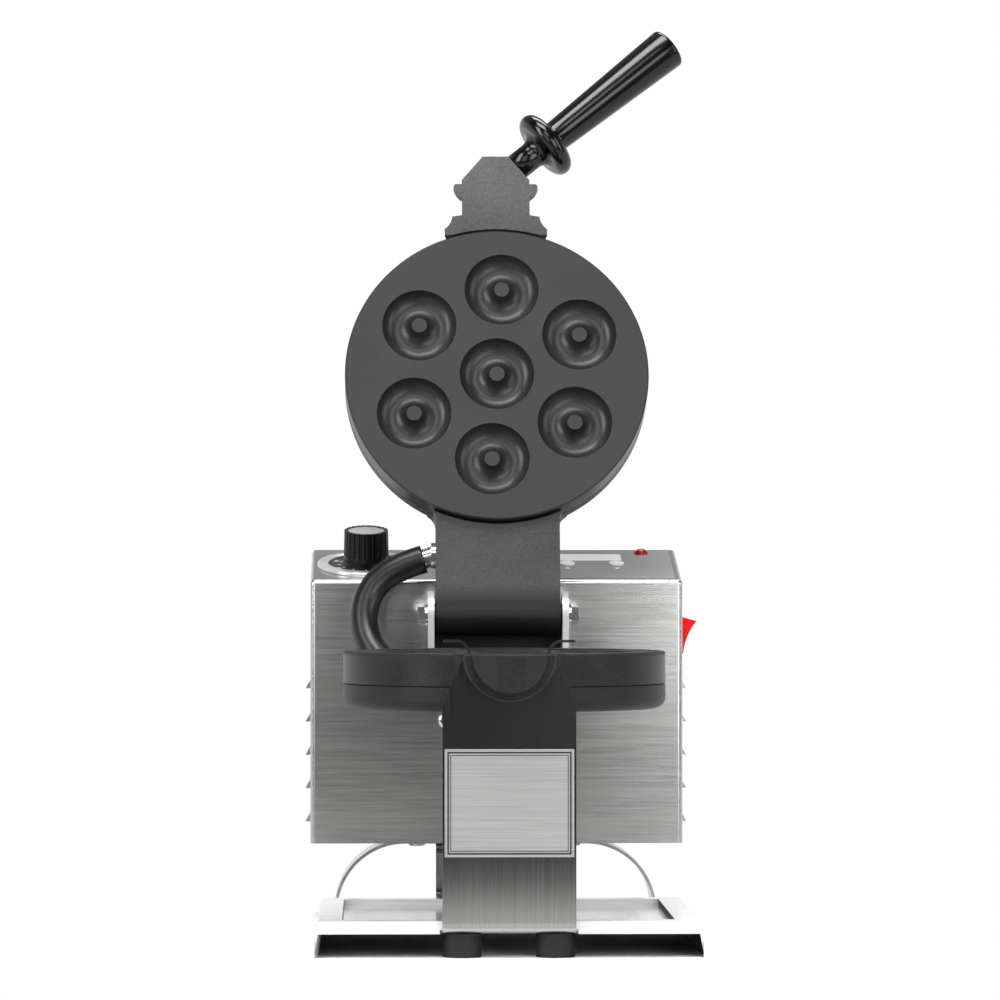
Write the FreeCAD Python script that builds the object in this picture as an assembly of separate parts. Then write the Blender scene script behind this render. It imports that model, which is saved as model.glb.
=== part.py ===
import FreeCAD, Part
import math
import os

V = FreeCAD.Vector
X_AXIS = V(1, 0, 0)
Y_AXIS = V(0, 1, 0)
Z_AXIS = V(0, 0, 1)

# Millimetres, front towards -Y, table at Z = 0. The sizes are measured from the plates' centre,
# and each piece is saved from the middle of the whole part's footprint.

# Turning axis and hinge
AXIS_Z = 181.5
HINGE_Y = 160.0
HINGE_UP = 19.5
OPEN_ANGLE = 106.7
RUN_FIT = 0.05
SEAT_FIT = 0.05

# Baking plates
PLATE_R = 100.0
PLATE_T = 20.5
PLATE_EDGE = 0.8
PARTING_GAP = 0.4
CAVITY_R = 24.5
POST_R = 5.0
CAVITY_DEPTH = 9.5
CAVITY_RING = 61.0
CAVITY_RING_END = 58.7
CAVITY_COUNT = 6
CAVITY_TURN = 3.4

# Covers with arm and half-collar
COVER_T = 15.0
COVER_WALL = 3.0
COVER_EDGE = 7.0
COLLAR_GAP = 1.2
LID_ARM_HALF = 40.5
ARM_T = 26.0
ARM_WALL = 4.0
ARM_FILLET = 10.0
DUCT_R = 5.0
BELL_R = 34.0
BELL_LIP_R = 29.0
BELL_END = 110.0
BELL_DISH = 1.3
NECK_R = 22.5
NECK_START = 111.0
NECK_END = 124.0
BEAD_R = 28.0
BEAD_END = 133.0
BEAD_CREST = 4.0
BEAD_LIP = 1.0
NOSE_END = 152.6
NOSE_HALF = 8.5
CHAMFER_START = 135.9

# Heaters, pads and plate screws
HEATER_R = 62.0
HEATER_TUBE = 3.9
HEATER_GAP_ANGLE = 24.0
PAD_T = 4.0
PAD_CLEAR = 5.0
BOSS_R = 6.0
BOSS_RING = 80.0
BOSS_CLEAR = 0.5
SCREW_R = 2.5
SCREW_HEAD_R = 4.6
SCREW_HEAD_T = 2.6
HEAD_ROUND = 0.6
PLATE_SCREW_DEPTH = 7.0
HEAD_SINK = 0.3

# Hinge ears, bolts and bushes
EAR_T = 4.0
EAR_R = 16.0
EAR_DROP = 28.0
EAR_CLEAR = 1.2
EAR_SCREW_PITCH = 16.0
EAR_SCREW_DROP = 19.0
BOLT_R = 4.0
BOLT_HEX = 10.0
BOLT_HEAD_T = 4.6
BOLT_FLANGE_R = 7.6
BOLT_FLANGE_T = 2.0
BOLT_DIMPLE_R = 2.4
BOLT_DIMPLE = 1.5
BUSH_WALL = 2.0
BUSH_LENGTH = 20.0
BUSH_FLANGE_R = 8.0
BUSH_FLANGE_T = 1.0

# Axle and its bearing
AXLE_R = 12.0
AXLE_BORE = 7.5
HUB_R = 18.0
HUB_START = 176.0
HUB_END = 190.0
BRIDGE_UP = 12.0
WASHER_CLEAR = 0.3
BEARING_T = 4.0
BEARING_HALF = 40.0
BEARING_BOSS_R = 22.0
BEARING_LENGTH = 40.0
BEARING_WALL = 3.0
BEARING_SCREW_X = 33.0
BEARING_SCREW_LOW = 50.0
BEARING_SCREW_HIGH = 26.0
BEARING_EDGE = 9.0
DOME_R = 5.7
DOME_T = 3.6
RING_R = 17.0
RING_T = 5.0

# Handle
HANDLE_UP = 9.6
HANDLE_SHARE = 0.32
FERRULE_R = 9.25
FERRULE_LENGTH = 21.0
FLANGE_R = 23.5
FLANGE_T = 12.0
FLANGE_BLEND = 7.0
GRIP_ROOT_R = 9.5
GRIP_END_R = 13.5
GRIP_LENGTH = 103.4
GRIP_DOME = 3.0
STUD_R = 4.0
STUD_SEAT = 12.0
STUD_REACH = 70.0

# Stand strip with the cradle
STRIP_HALF = 40.0
STRIP_T = 2.0
STRIP_BEND = 6.5
FRONT_Y = -122.0
FOOT_H = 14.4
SHOULDER_Z = 151.2
APEX_Z = 177.5
CRADLE_R = 29.0
SADDLE_T = 1.6
SADDLE_IN = 23.0
SADDLE_DEPTH = 9.5
HORN_R = 8.0
HORN_TIP = 39.3
LABEL_HALF = 38.7
LABEL_LOW = 60.6
LABEL_HIGH = 125.1
LABEL_T = 0.6
FOOT_R = 11.8
FOOT_X = 28.0
FOOT_Y = -106.0
FOOT_STEM_R = 3.0

# Drip tray that bridges the strip
TRAY_TOP = 22.0
TRAY_SHEET = 1.0
TRAY_FRONT = -117.0
TRAY_REAR = 90.0
TRAY_HALF = 114.0
TRAY_FLARE = 4.5
TRAY_RIM = 14.0
TRAY_LIP = 7.7
TRAY_SEAT = 0.3
NOTCH_SIDE = 1.5
NOTCH_TOP = 0.6

# Control box
BOX_HALF = 122.7
BOX_FRONT = 195.0
BOX_DEPTH = 86.0
BOX_LOW = 50.6
BOX_FRONT_TOP = 223.7
BOX_RISE = 20.0
BOX_T = 1.5
BOX_EDGE = 3.0
SHEET_FIT = 0.1
LIP_H = 10.0
LOUVRE_COUNT = 5
LOUVRE_LOW = 64.2
LOUVRE_PITCH = 22.0
LOUVRE_H = 6.0
LOUVRE_OUT = 3.3
LOUVRE_INSET = 18.0
LOUVRE_WALL = 0.9
BACK_SCREW_IN = 7.0
BACK_TAB = 12.0

# Arch stand under the box
ARCH_SIDE = 62.7
ARCH_BEND = 47.0
ARCH_T = 2.0
ARCH_SETBACK = 31.0
ARCH_WIDTH = 50.0
ARCH_FOOT_WALL = 2.0
ARCH_FOOT_H = 9.0
STAND_BOLT_R = 3.0
STAND_BOLT_HEAD_R = 5.8
STAND_BOLT_HEAD_T = 2.8
STAND_NUT_R = 5.0
STAND_NUT_T = 4.0
ARCH_BOLT_X = 52.0
FLANGE_BOLT_X = 26.0
STRIP_FLANGE = 24.0

# Sloping control panel, measured from its front edge
OVERLAY_LEFT = 15.0
OVERLAY_SIDE = 4.7
OVERLAY_FRONT = 4.5
OVERLAY_BACK = 2.0
OVERLAY_T = 0.5
DISPLAY_SIDE = 33.0
DISPLAY_WIDTH = 47.0
DISPLAY_BACK = 10.0
DISPLAY_DEPTH = 19.0
DISPLAY_T = 1.2
BUTTON_SIDE = 37.0
BUTTON_PITCH = 33.0
BUTTON_BACK = 10.0
BUTTON_R = 5.2
BUTTON_UP = 1.2
BUTTON_RIM = 1.4
BUTTON_RIM_T = 1.0
BUTTON_STEM_R = 2.0
BUTTON_TRAVEL = 0.8
BUTTON_CLEAR = 0.3
BOARD_DEPTH = 10.0
BOARD_T = 1.6
BOARD_MARGIN = 6.0
BOARD_MARGIN_FRONT = 11.0
BOARD_MARGIN_REAR = 4.0
POST_SIZE = 2.5
SWITCH_HALF = 3.0
LAMP_SIDE = 19.0
LAMP_BACK = 9.0
LAMP_R = 5.0
LAMP_UP = 3.4
LAMP_BODY_R = 4.0
LAMP_BODY = 12.0
DIAL_SIDE = 36.7
BEZEL_R = 32.6
BEZEL_IN = 25.2
BEZEL_H = 2.4
BEZEL_ROUND = 1.4
DIAL_R = 25.0
DIAL_T = 1.0
KNOB_R = 15.0
KNOB_TOP_R = 14.6
KNOB_H = 20.4
KNOB_UP = 3.8
FLUTE_COUNT = 24
FLUTE_R = 1.1
FLUTE_INSET = 0.25
CAP_R = 12.0
CAP_T = 1.0
CAP_SINK = 0.4
SHAFT_R = 3.0
SHAFT_IN_KNOB = 14.0
THERMO_R = 19.0
THERMO_H = 20.0
THERMO_NECK_R = 5.5

# Rocker on the right side
ROCKER_SETBACK = 33.0
ROCKER_Z = 187.2
ROCKER_HALF = 12.4
ROCKER_WIDTH = 11.0
ROCKER_OUT_HIGH = 11.0
ROCKER_OUT_LOW = 2.0
ROCKER_SINK = 2.0
ROCKER_CLEAR = 1.2
ROCKER_DISH = 0.36
ROCKER_CREST = 0.75
HOUSING_WALL = 1.5
HOUSING_FLANGE = 2.2
HOUSING_FLANGE_T = 1.0
HOUSING_DEPTH = 13.0
PIVOT_IN = 4.0
PIVOT_R = 1.5

# Supply entry and wiring inside
GLAND_SIDE = 42.7
GLAND_Z = 82.0
GLAND_NUT_R = 11.0
GLAND_NUT_T = 6.0
GLAND_DOME_R = 9.0
GLAND_DOME_T = 12.0
GLAND_BORE = 4.0
GLAND_THREAD_R = 8.0
GLAND_THREAD = 12.0
BLOCK_WIDTH = 60.0
BLOCK_DEPTH = 20.0
BLOCK_HEIGHT = 16.0
BLOCK_SETBACK = 37.0

# Hose between the two arms
HOSE_R = 9.25
HOSE_BORE = 7.0
NIPPLE_R = 6.8
NIPPLE_LENGTH = 14.0
HOSE_OVERLAP = 6.0
NUT_R = 8.5
NUT_T = 3.0
THREAD_PITCH = 1.8
THREAD_DEPTH = 0.6
BEND_SHARE = 0.45
UPPER_GLAND_Y = 171.5
UPPER_GLAND_Z = 240.0
LOWER_GLAND_Y = 124.0
LOWER_GLAND_Z = 160.5
HOSE_ROUTE = (
    V(-72.0, 172.0, 231.0),
    V(-88.0, 168.0, 210.0),
    V(-86.0, 154.0, 183.0),
    V(-68.0, 136.0, 165.0),
)

# Values that follow from the sizes above
HINGE_Z = AXIS_Z + HINGE_UP
HALF_GAP = PARTING_GAP / 2
ARM_NEAR = HINGE_UP - ARM_T / 2
ARM_FAR = HINGE_UP + ARM_T / 2
BARREL_R = ARM_T / 2
COVER_LOW = PLATE_T + COVER_T
EAR_IN = LID_ARM_HALF + EAR_CLEAR
EAR_OUT = EAR_IN + EAR_T
STRIP_LOW = FOOT_H
STRIP_TOP = FOOT_H + STRIP_T
BOX_REAR = BOX_FRONT + BOX_DEPTH
SLOPE = math.degrees(math.atan2(BOX_RISE, BOX_DEPTH))
PAD_R = PLATE_R - COVER_WALL - PAD_CLEAR
HEAD_SEAT = SCREW_HEAD_T + HEAD_SINK
LOUVRE_START = BOX_FRONT + LOUVRE_INSET
LOUVRE_LENGTH = BOX_DEPTH - 2 * LOUVRE_INSET
ARCH_FLAT = BOX_HALF - ARCH_SIDE
ARCH_START = BOX_FRONT + ARCH_SETBACK
ROCKER_Y = BOX_FRONT + ROCKER_SETBACK
BLOCK_Y = BOX_FRONT + BLOCK_SETBACK
GLAND_X = GLAND_SIDE - BOX_HALF
DIAL_X = DIAL_SIDE - BOX_HALF
DIAL_V = BOX_DEPTH / 2
OVERLAY_RIGHT = BOX_HALF - OVERLAY_SIDE
OVERLAY_REAR = BOX_DEPTH - OVERLAY_BACK
DISPLAY_RIGHT = OVERLAY_RIGHT - DISPLAY_SIDE
DISPLAY_LEFT = DISPLAY_RIGHT - DISPLAY_WIDTH
DISPLAY_REAR = OVERLAY_REAR - DISPLAY_BACK
DISPLAY_FRONT = DISPLAY_REAR - DISPLAY_DEPTH
BUTTON_DOWN_X = OVERLAY_RIGHT - BUTTON_SIDE
BUTTON_UP_X = BUTTON_DOWN_X - BUTTON_PITCH
BUTTON_X = (BUTTON_UP_X, BUTTON_DOWN_X)
BUTTON_V = DISPLAY_FRONT - BUTTON_BACK
BOARD_LEFT = DISPLAY_LEFT - BOARD_MARGIN
BOARD_RIGHT = DISPLAY_RIGHT + BOARD_MARGIN
BOARD_FRONT = BUTTON_V - BOARD_MARGIN_FRONT
BOARD_REAR = DISPLAY_REAR + BOARD_MARGIN_REAR
LAMP_X = OVERLAY_RIGHT - LAMP_SIDE
LAMP_V = OVERLAY_REAR - LAMP_BACK
LEFT_END = -(BOX_HALF + LOUVRE_OUT)
RIGHT_END = BOX_HALF + ROCKER_OUT_HIGH
FRONT_END = -NOSE_END
REAR_END = BOX_REAR + GLAND_NUT_T + GLAND_DOME_T
ORIGIN = V((LEFT_END + RIGHT_END) / 2, (FRONT_END + REAR_END) / 2, 0)


def box(x0, x1, y0, y1, z0, z1):
    return Part.makeBox(x1 - x0, y1 - y0, z1 - z0, V(x0, y0, z0))


def rod(radius, start, end):
    span = end - start
    return Part.makeCylinder(radius, span.Length, start, span)


def prism(points, travel):
    wire = Part.makePolygon(list(points) + [points[0]])
    return Part.Face(wire).extrude(travel)


def turned(edges, axis, angle=360):
    face = Part.Face(Part.Wire(edges))
    return face.revolve(V(0, 0, 0), axis, angle)


def line(start, end):
    return Part.makeLine(start, end)


def arc(start, middle, end):
    return Part.Arc(start, middle, end).toShape()


def fuse(shapes):
    shapes = list(shapes)
    return shapes[0].multiFuse(shapes[1:]).removeSplitter()


def group(shapes):
    return Part.makeCompound(list(shapes))


def mirrored_x(shape):
    return shape.mirror(V(0, 0, 0), X_AXIS)


def both_sides(shape):
    return group([shape, mirrored_x(shape)])


def moved(shape, offset):
    copy = shape.copy()
    copy.translate(offset)
    return copy


def at_axis(shape):
    return moved(shape, V(0, 0, AXIS_Z))


def on_lid(shape):
    copy = at_axis(shape)
    copy.rotate(V(0, HINGE_Y, HINGE_Z), X_AXIS, -OPEN_ANGLE)
    return copy


def upside(shape):
    return shape.mirror(V(0, 0, 0), Z_AXIS)


def on_panel(shape):
    copy = shape.copy()
    copy.rotate(V(0, 0, 0), X_AXIS, SLOPE)
    copy.translate(V(0, BOX_FRONT, BOX_FRONT_TOP))
    return copy


def save(name, shape):
    moved(shape, -ORIGIN).exportStep("parts/" + name + ".step")


# Screw along a direction, head outside the seat point
def screw(seat, inward, depth, radius=SCREW_R, head_r=SCREW_HEAD_R, head_t=SCREW_HEAD_T):
    shank = rod(radius, seat, seat + inward * depth)
    head = rod(head_r, seat - inward * head_t, seat)
    rim = [e for e in head.Edges if (e.CenterOfMass - (seat - inward * head_t)).Length < 0.01]
    return head.makeFillet(head_t * HEAD_ROUND, rim[:1]).fuse(shank)


# Baking plate below the parting plane
def plate():
    body = Part.makeCylinder(PLATE_R, PLATE_T - HALF_GAP, V(0, 0, -PLATE_T))
    body = body.makeChamfer(PLATE_EDGE, [e for e in body.Edges if e.Closed])
    middle = (POST_R + CAVITY_R) / 2
    cutter = turned([
        arc(V(POST_R, 0, -HALF_GAP), V(middle, 0, -CAVITY_DEPTH), V(CAVITY_R, 0, -HALF_GAP)),
        line(V(CAVITY_R, 0, -HALF_GAP), V(CAVITY_R, 0, 1)),
        line(V(CAVITY_R, 0, 1), V(POST_R, 0, 1)),
        line(V(POST_R, 0, 1), V(POST_R, 0, -HALF_GAP)),
    ], Z_AXIS)
    cutters = [cutter]
    for index in range(CAVITY_COUNT):
        angle = math.radians(90 + CAVITY_TURN + index * 360 / CAVITY_COUNT)
        ring = CAVITY_RING if index % (CAVITY_COUNT // 2) else CAVITY_RING_END
        place = V(ring * math.cos(angle), ring * math.sin(angle), 0)
        cutters.append(moved(cutter, place))
    for place in boss_places():
        seat = place + V(0, 0, -PLATE_T)
        cutters.append(rod(SCREW_R, seat, seat + V(0, 0, PLATE_SCREW_DEPTH)))
    return body.cut(group(cutters))


def boss_places():
    places = []
    for index in range(4):
        angle = math.radians(45 + 90 * index)
        places.append(V(BOSS_RING * math.cos(angle), BOSS_RING * math.sin(angle), 0))
    return places


# Half-collar about the turning axis, below the parting plane
def half_collar():
    base = -PLATE_R + COVER_WALL
    bell_start = -PLATE_R - COLLAR_GAP
    lip_r = BEAD_R - BEAD_LIP
    profile = [
        line(V(0, base, 0), V(BELL_R, base, 0)),
        line(V(BELL_R, base, 0), V(BELL_R, bell_start, 0)),
        arc(
            V(BELL_R, bell_start, 0),
            V((BELL_R + BELL_LIP_R) / 2 - BELL_DISH, (bell_start - BELL_END) / 2, 0),
            V(BELL_LIP_R, -BELL_END, 0),
        ),
        line(V(BELL_LIP_R, -BELL_END, 0), V(NECK_R, -NECK_START, 0)),
        line(V(NECK_R, -NECK_START, 0), V(NECK_R, -NECK_END, 0)),
        arc(V(NECK_R, -NECK_END, 0), V(BEAD_R, BEAD_CREST - BEAD_END, 0), V(lip_r, -BEAD_END, 0)),
        line(V(lip_r, -BEAD_END, 0), V(NECK_R, -BEAD_END, 0)),
        line(V(NECK_R, -BEAD_END, 0), V(NECK_R, -NOSE_END, 0)),
        line(V(NECK_R, -NOSE_END, 0), V(0, -NOSE_END, 0)),
        line(V(0, -NOSE_END, 0), V(0, base, 0)),
    ]
    collar = turned(profile, Y_AXIS, 180)
    corner = prism([
        V(NOSE_HALF, -NOSE_END, -BELL_R),
        V(NECK_R, -CHAMFER_START, -BELL_R),
        V(BELL_R, -CHAMFER_START, -BELL_R),
        V(BELL_R, -NOSE_END - 1, -BELL_R),
        V(NOSE_HALF, -NOSE_END - 1, -BELL_R),
    ], V(0, 0, BELL_R + 1))
    return collar.cut(corner).cut(mirrored_x(corner))


# Rear arm that runs from the cover, with its blends
def arm(half, end):
    bar = box(-half, half, 0, end, -ARM_FAR, -ARM_NEAR)
    centre = V(half + ARM_FILLET, math.sqrt((PLATE_R + ARM_FILLET) ** 2 - (half + ARM_FILLET) ** 2), 0)
    touch = centre * (PLATE_R / (PLATE_R + ARM_FILLET))
    web = prism([
        V(half - 1, centre.y, -ARM_FAR),
        V(centre.x, centre.y, -ARM_FAR),
        V(touch.x, touch.y, -ARM_FAR),
        V(half - 1, touch.y - ARM_FILLET, -ARM_FAR),
    ], V(0, 0, ARM_FAR - ARM_NEAR))
    web = web.cut(Part.makeCylinder(ARM_FILLET, 2 * ARM_FAR, V(centre.x, centre.y, -2 * ARM_FAR)))
    return fuse([bar, web, mirrored_x(web)])


# Cover shell without its own rear end
def cover(half, arm_end, rear_end):
    disc = Part.makeCylinder(PLATE_R, COVER_T, V(0, 0, -COVER_LOW))
    low = [e for e in disc.Edges if abs(e.BoundBox.ZMax + COVER_LOW) < 0.01 and e.Closed]
    disc = disc.makeFillet(COVER_EDGE, low)
    body = fuse([disc, arm(half, arm_end), half_collar()] + rear_end)
    body = body.cut(Part.makeCylinder(PLATE_R + COLLAR_GAP, PLATE_T, V(0, 0, -PLATE_T)))
    hollow = Part.makeCylinder(PLATE_R - COVER_WALL, COVER_T - COVER_WALL, V(0, 0, -COVER_LOW + COVER_WALL))
    inner = PLATE_R + COLLAR_GAP + ARM_WALL
    chamber_end = HINGE_Y - BARREL_R - 2 * ARM_WALL
    chamber = box(
        -half + ARM_WALL, half - ARM_WALL, inner, chamber_end, -ARM_FAR + ARM_WALL, -ARM_NEAR - ARM_WALL
    )
    duct_z = -PLATE_T - DUCT_R - 1
    duct = rod(DUCT_R, V(0, PLATE_R - 2 * COVER_WALL, duct_z), V(0, inner + 1, duct_z))
    body = body.cut(group([hollow, chamber, duct]))
    bosses = []
    for place in boss_places():
        floor = place + V(0, 0, -COVER_LOW + COVER_WALL / 2)
        bosses.append(rod(BOSS_R, floor, place + V(0, 0, -PLATE_T)))
    body = fuse([body] + bosses)
    holes = []
    for place in boss_places():
        low = place + V(0, 0, -COVER_LOW - 1)
        holes.append(rod(SCREW_R, low, place + V(0, 0, -PLATE_T)))
        holes.append(rod(SCREW_HEAD_R + BOSS_CLEAR, low, place + V(0, 0, HEAD_SEAT - COVER_LOW)))
    body = body.cut(group(holes))
    return body.cut(box(-BELL_R - 1, BELL_R + 1, -NOSE_END - 1, -PLATE_R, -HALF_GAP, 1))


def lower_cover():
    hub = rod(HUB_R, V(0, HUB_START, 0), V(0, HUB_END, 0))
    bridge = box(-EAR_IN, EAR_IN, HUB_START, HUB_END, -ARM_FAR, BRIDGE_UP)
    body = cover(EAR_IN, HUB_END, [hub, bridge])
    body = body.cut(rod(AXLE_R + SEAT_FIT, V(0, HUB_START + ARM_WALL, 0), V(0, HUB_END + 1, 0)))
    wire_z = -ARM_NEAR - ARM_WALL - DUCT_R / 2
    wire_start = V(0, HINGE_Y - BARREL_R - 2 * ARM_WALL - 1, wire_z)
    wire = rod(DUCT_R / 2, wire_start, V(0, HUB_START + ARM_WALL + 1, wire_z))
    gland_end = V(0, LOWER_GLAND_Y, LOWER_GLAND_Z - AXIS_Z)
    gland = rod(DUCT_R, gland_end - X_AXIS * (EAR_IN + 1), gland_end)
    return body.cut(group([wire, gland] + [ear_screw_hole(place) for place in ear_screw_places()]))


def upper_cover():
    barrel = rod(BARREL_R, V(-LID_ARM_HALF, HINGE_Y, -HINGE_UP), V(LID_ARM_HALF, HINGE_Y, -HINGE_UP))
    body = upside(cover(LID_ARM_HALF, HINGE_Y, [barrel]))
    bush_r = BOLT_R + RUN_FIT + BUSH_WALL + SEAT_FIT
    depth = LID_ARM_HALF - BUSH_LENGTH
    bore = rod(bush_r, V(depth, HINGE_Y, HINGE_UP), V(LID_ARM_HALF + 1, HINGE_Y, HINGE_UP))
    stud = rod(STUD_R + SEAT_FIT, handle_seat() - handle_way() * STUD_SEAT, handle_seat() + handle_way())
    body = on_lid(body.cut(group([bore, mirrored_x(bore), stud])))
    start = V(-LID_ARM_HALF - 1, UPPER_GLAND_Y, UPPER_GLAND_Z)
    return body.cut(rod(DUCT_R, start, start + V(LID_ARM_HALF, 0, 0)))


# Tubular heater against the plate and pad on the cover's floor
def heater():
    ring = Part.makeTorus(HEATER_R, HEATER_TUBE, V(0, 0, -PLATE_T - HEATER_TUBE - SEAT_FIT))
    reach = 2 * HEATER_R
    half = math.tan(math.radians(HEATER_GAP_ANGLE / 2)) * reach
    low = -COVER_LOW
    wedge = prism([V(0, 0, low), V(half, reach, low), V(-half, reach, low)], V(0, 0, COVER_LOW))
    return ring.cut(wedge)


def insulation():
    pad = Part.makeCylinder(PAD_R, PAD_T, V(0, 0, -COVER_LOW + COVER_WALL))
    holes = []
    for place in boss_places():
        low = place + V(0, 0, -COVER_LOW)
        holes.append(rod(BOSS_R + BOSS_CLEAR, low, place))
    return pad.cut(group(holes))


def plate_screws():
    screws = []
    for place in boss_places():
        seat = place + V(0, 0, HEAD_SEAT - COVER_LOW)
        screws.append(screw(seat, Z_AXIS, COVER_T - HEAD_SEAT + PLATE_SCREW_DEPTH))
    return group(screws)


# Hinge ears on the lower arm
def ear_screw_places():
    places = []
    for side in (-1, 1):
        for step in (-0.5, 0.5):
            places.append(V(side * EAR_OUT, HINGE_Y + step * EAR_SCREW_PITCH, -EAR_SCREW_DROP))
    return places


def ear_screw_hole(place):
    inward = V(-math.copysign(1, place.x), 0, 0)
    return rod(SCREW_R, place, place + inward * (EAR_T + ARM_WALL * 2))


def ear():
    top = rod(EAR_R, V(EAR_IN, HINGE_Y, HINGE_UP), V(EAR_OUT, HINGE_Y, HINGE_UP))
    leg = box(EAR_IN, EAR_OUT, HINGE_Y - EAR_R, HINGE_Y + EAR_R, -EAR_DROP, HINGE_UP)
    hole = rod(BOLT_R + SEAT_FIT, V(EAR_IN - 1, HINGE_Y, HINGE_UP), V(EAR_OUT + 1, HINGE_Y, HINGE_UP))
    body = fuse([top, leg]).cut(hole)
    return body.cut(group([ear_screw_hole(place) for place in ear_screw_places() if place.x > 0]))


def ear_screws():
    screws = []
    for place in ear_screw_places():
        inward = V(-math.copysign(1, place.x), 0, 0)
        screws.append(screw(place, inward, EAR_T + ARM_WALL * 2))
    return group(screws)


def hinge_bolt():
    seat = V(EAR_OUT, HINGE_Y, HINGE_UP)
    shank = rod(BOLT_R, V(LID_ARM_HALF - BUSH_LENGTH + 1, HINGE_Y, HINGE_UP), seat)
    flange = rod(BOLT_FLANGE_R, seat, seat + X_AXIS * BOLT_FLANGE_T)
    corner = BOLT_HEX / math.sqrt(3)
    points = []
    for index in range(6):
        angle = math.radians(30 + 60 * index)
        points.append(seat + V(BOLT_FLANGE_T, corner * math.cos(angle), corner * math.sin(angle)))
    head = prism(points, V(BOLT_HEAD_T, 0, 0))
    end = seat + X_AXIS * (BOLT_FLANGE_T + BOLT_HEAD_T)
    body = fuse([shank, flange, head])
    return body.cut(rod(BOLT_DIMPLE_R, end - X_AXIS * BOLT_DIMPLE, end + X_AXIS))


def hinge_bush():
    outer = BOLT_R + RUN_FIT + BUSH_WALL
    start = V(LID_ARM_HALF - BUSH_LENGTH, HINGE_Y, HINGE_UP)
    seat = V(LID_ARM_HALF, HINGE_Y, HINGE_UP)
    body = fuse([rod(outer, start, seat), rod(BUSH_FLANGE_R, seat, seat + X_AXIS * BUSH_FLANGE_T)])
    return body.cut(rod(BOLT_R + RUN_FIT, start - X_AXIS, seat + X_AXIS * 2))


# Handle on the right chamfer of the lid's collar
def handle_seat():
    nose = V(NOSE_HALF, -NOSE_END, HANDLE_UP)
    shoulder = V(NECK_R, -CHAMFER_START, HANDLE_UP)
    return nose + (shoulder - nose) * HANDLE_SHARE


def handle_way():
    along = V(NECK_R - NOSE_HALF, NOSE_END - CHAMFER_START, 0)
    way = V(along.y, -along.x, 0)
    return way.normalize()


def handle_grip():
    flange_start = FERRULE_LENGTH
    flange_end = flange_start + FLANGE_T
    grip_end = flange_end + GRIP_LENGTH
    flange_mid = (flange_start + flange_end) / 2
    bend = FLANGE_BLEND * (1 - math.sqrt(0.5))
    dome_r = (GRIP_END_R ** 2 + GRIP_DOME ** 2) / (2 * GRIP_DOME)
    dome_turn = math.asin(GRIP_END_R / dome_r) / 2
    dome_top = grip_end + GRIP_DOME
    profile = [
        line(V(0, 0, 0), V(FERRULE_R, 0, 0)),
        line(V(FERRULE_R, 0, 0), V(FERRULE_R, 0, flange_start - FLANGE_BLEND)),
        arc(
            V(FERRULE_R, 0, flange_start - FLANGE_BLEND),
            V(FERRULE_R + bend, 0, flange_start - bend),
            V(FERRULE_R + FLANGE_BLEND, 0, flange_start),
        ),
        line(V(FERRULE_R + FLANGE_BLEND, 0, flange_start), V(FLANGE_R - FLANGE_T / 2, 0, flange_start)),
        arc(
            V(FLANGE_R - FLANGE_T / 2, 0, flange_start),
            V(FLANGE_R, 0, flange_mid),
            V(FLANGE_R - FLANGE_T / 2, 0, flange_end),
        ),
        line(V(FLANGE_R - FLANGE_T / 2, 0, flange_end), V(GRIP_ROOT_R, 0, flange_end)),
        line(V(GRIP_ROOT_R, 0, flange_end), V(GRIP_END_R, 0, grip_end)),
        arc(
            V(GRIP_END_R, 0, grip_end),
            V(dome_r * math.sin(dome_turn), 0, dome_top - dome_r * (1 - math.cos(dome_turn))),
            V(0, 0, dome_top),
        ),
        line(V(0, 0, dome_top), V(0, 0, 0)),
    ]
    body = turned(profile, Z_AXIS)
    body = body.cut(rod(STUD_R + SEAT_FIT, V(0, 0, -1), V(0, 0, STUD_REACH)))
    body.Placement = FreeCAD.Placement(handle_seat(), FreeCAD.Rotation(Z_AXIS, handle_way()))
    return body


def handle_stud():
    start = handle_seat() - handle_way() * STUD_SEAT
    return rod(STUD_R, start, handle_seat() + handle_way() * STUD_REACH)


# Axle, washer and retaining ring
def axle():
    end = BOX_FRONT + BOX_T + BEARING_LENGTH + RING_T + WASHER_CLEAR
    tube = rod(AXLE_R, V(0, HUB_START + ARM_WALL, 0), V(0, end + 2, 0))
    return tube.cut(rod(AXLE_BORE, V(0, HUB_START, 0), V(0, end + 3, 0)))


def thrust_washer():
    end = BOX_FRONT - WASHER_CLEAR
    ring = rod(HUB_R, V(0, HUB_END, 0), V(0, end, 0))
    return ring.cut(rod(AXLE_R + SEAT_FIT, V(0, HUB_END - 1, 0), V(0, end + 1, 0)))


def axle_ring():
    start = BOX_FRONT + BOX_T + BEARING_LENGTH + WASHER_CLEAR
    ring = rod(RING_R, V(0, start, 0), V(0, start + RING_T, 0))
    return ring.cut(rod(AXLE_R + SEAT_FIT, V(0, start - 1, 0), V(0, start + RING_T + 1, 0)))


# Bearing housing behind the box front
def bearing_places():
    places = []
    for side in (-1, 1):
        for height in (-BEARING_SCREW_LOW, BEARING_SCREW_HIGH):
            places.append(V(side * BEARING_SCREW_X, BOX_FRONT, height))
    return places


def bearing_housing():
    start = BOX_FRONT + BOX_T
    low = -BEARING_SCREW_LOW - BEARING_EDGE
    high = BEARING_SCREW_HIGH + BEARING_EDGE
    foot = box(-BEARING_HALF, BEARING_HALF, start, start + BEARING_T, low, high)
    boss = rod(BEARING_BOSS_R, V(0, start, 0), V(0, start + BEARING_LENGTH, 0))
    body = fuse([foot, boss])
    bush_r = AXLE_R + RUN_FIT + BEARING_WALL + SEAT_FIT
    body = body.cut(rod(bush_r, V(0, start - 1, 0), V(0, start + BEARING_LENGTH + 1, 0)))
    return body.cut(group([bearing_hole(place) for place in bearing_places()]))


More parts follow.
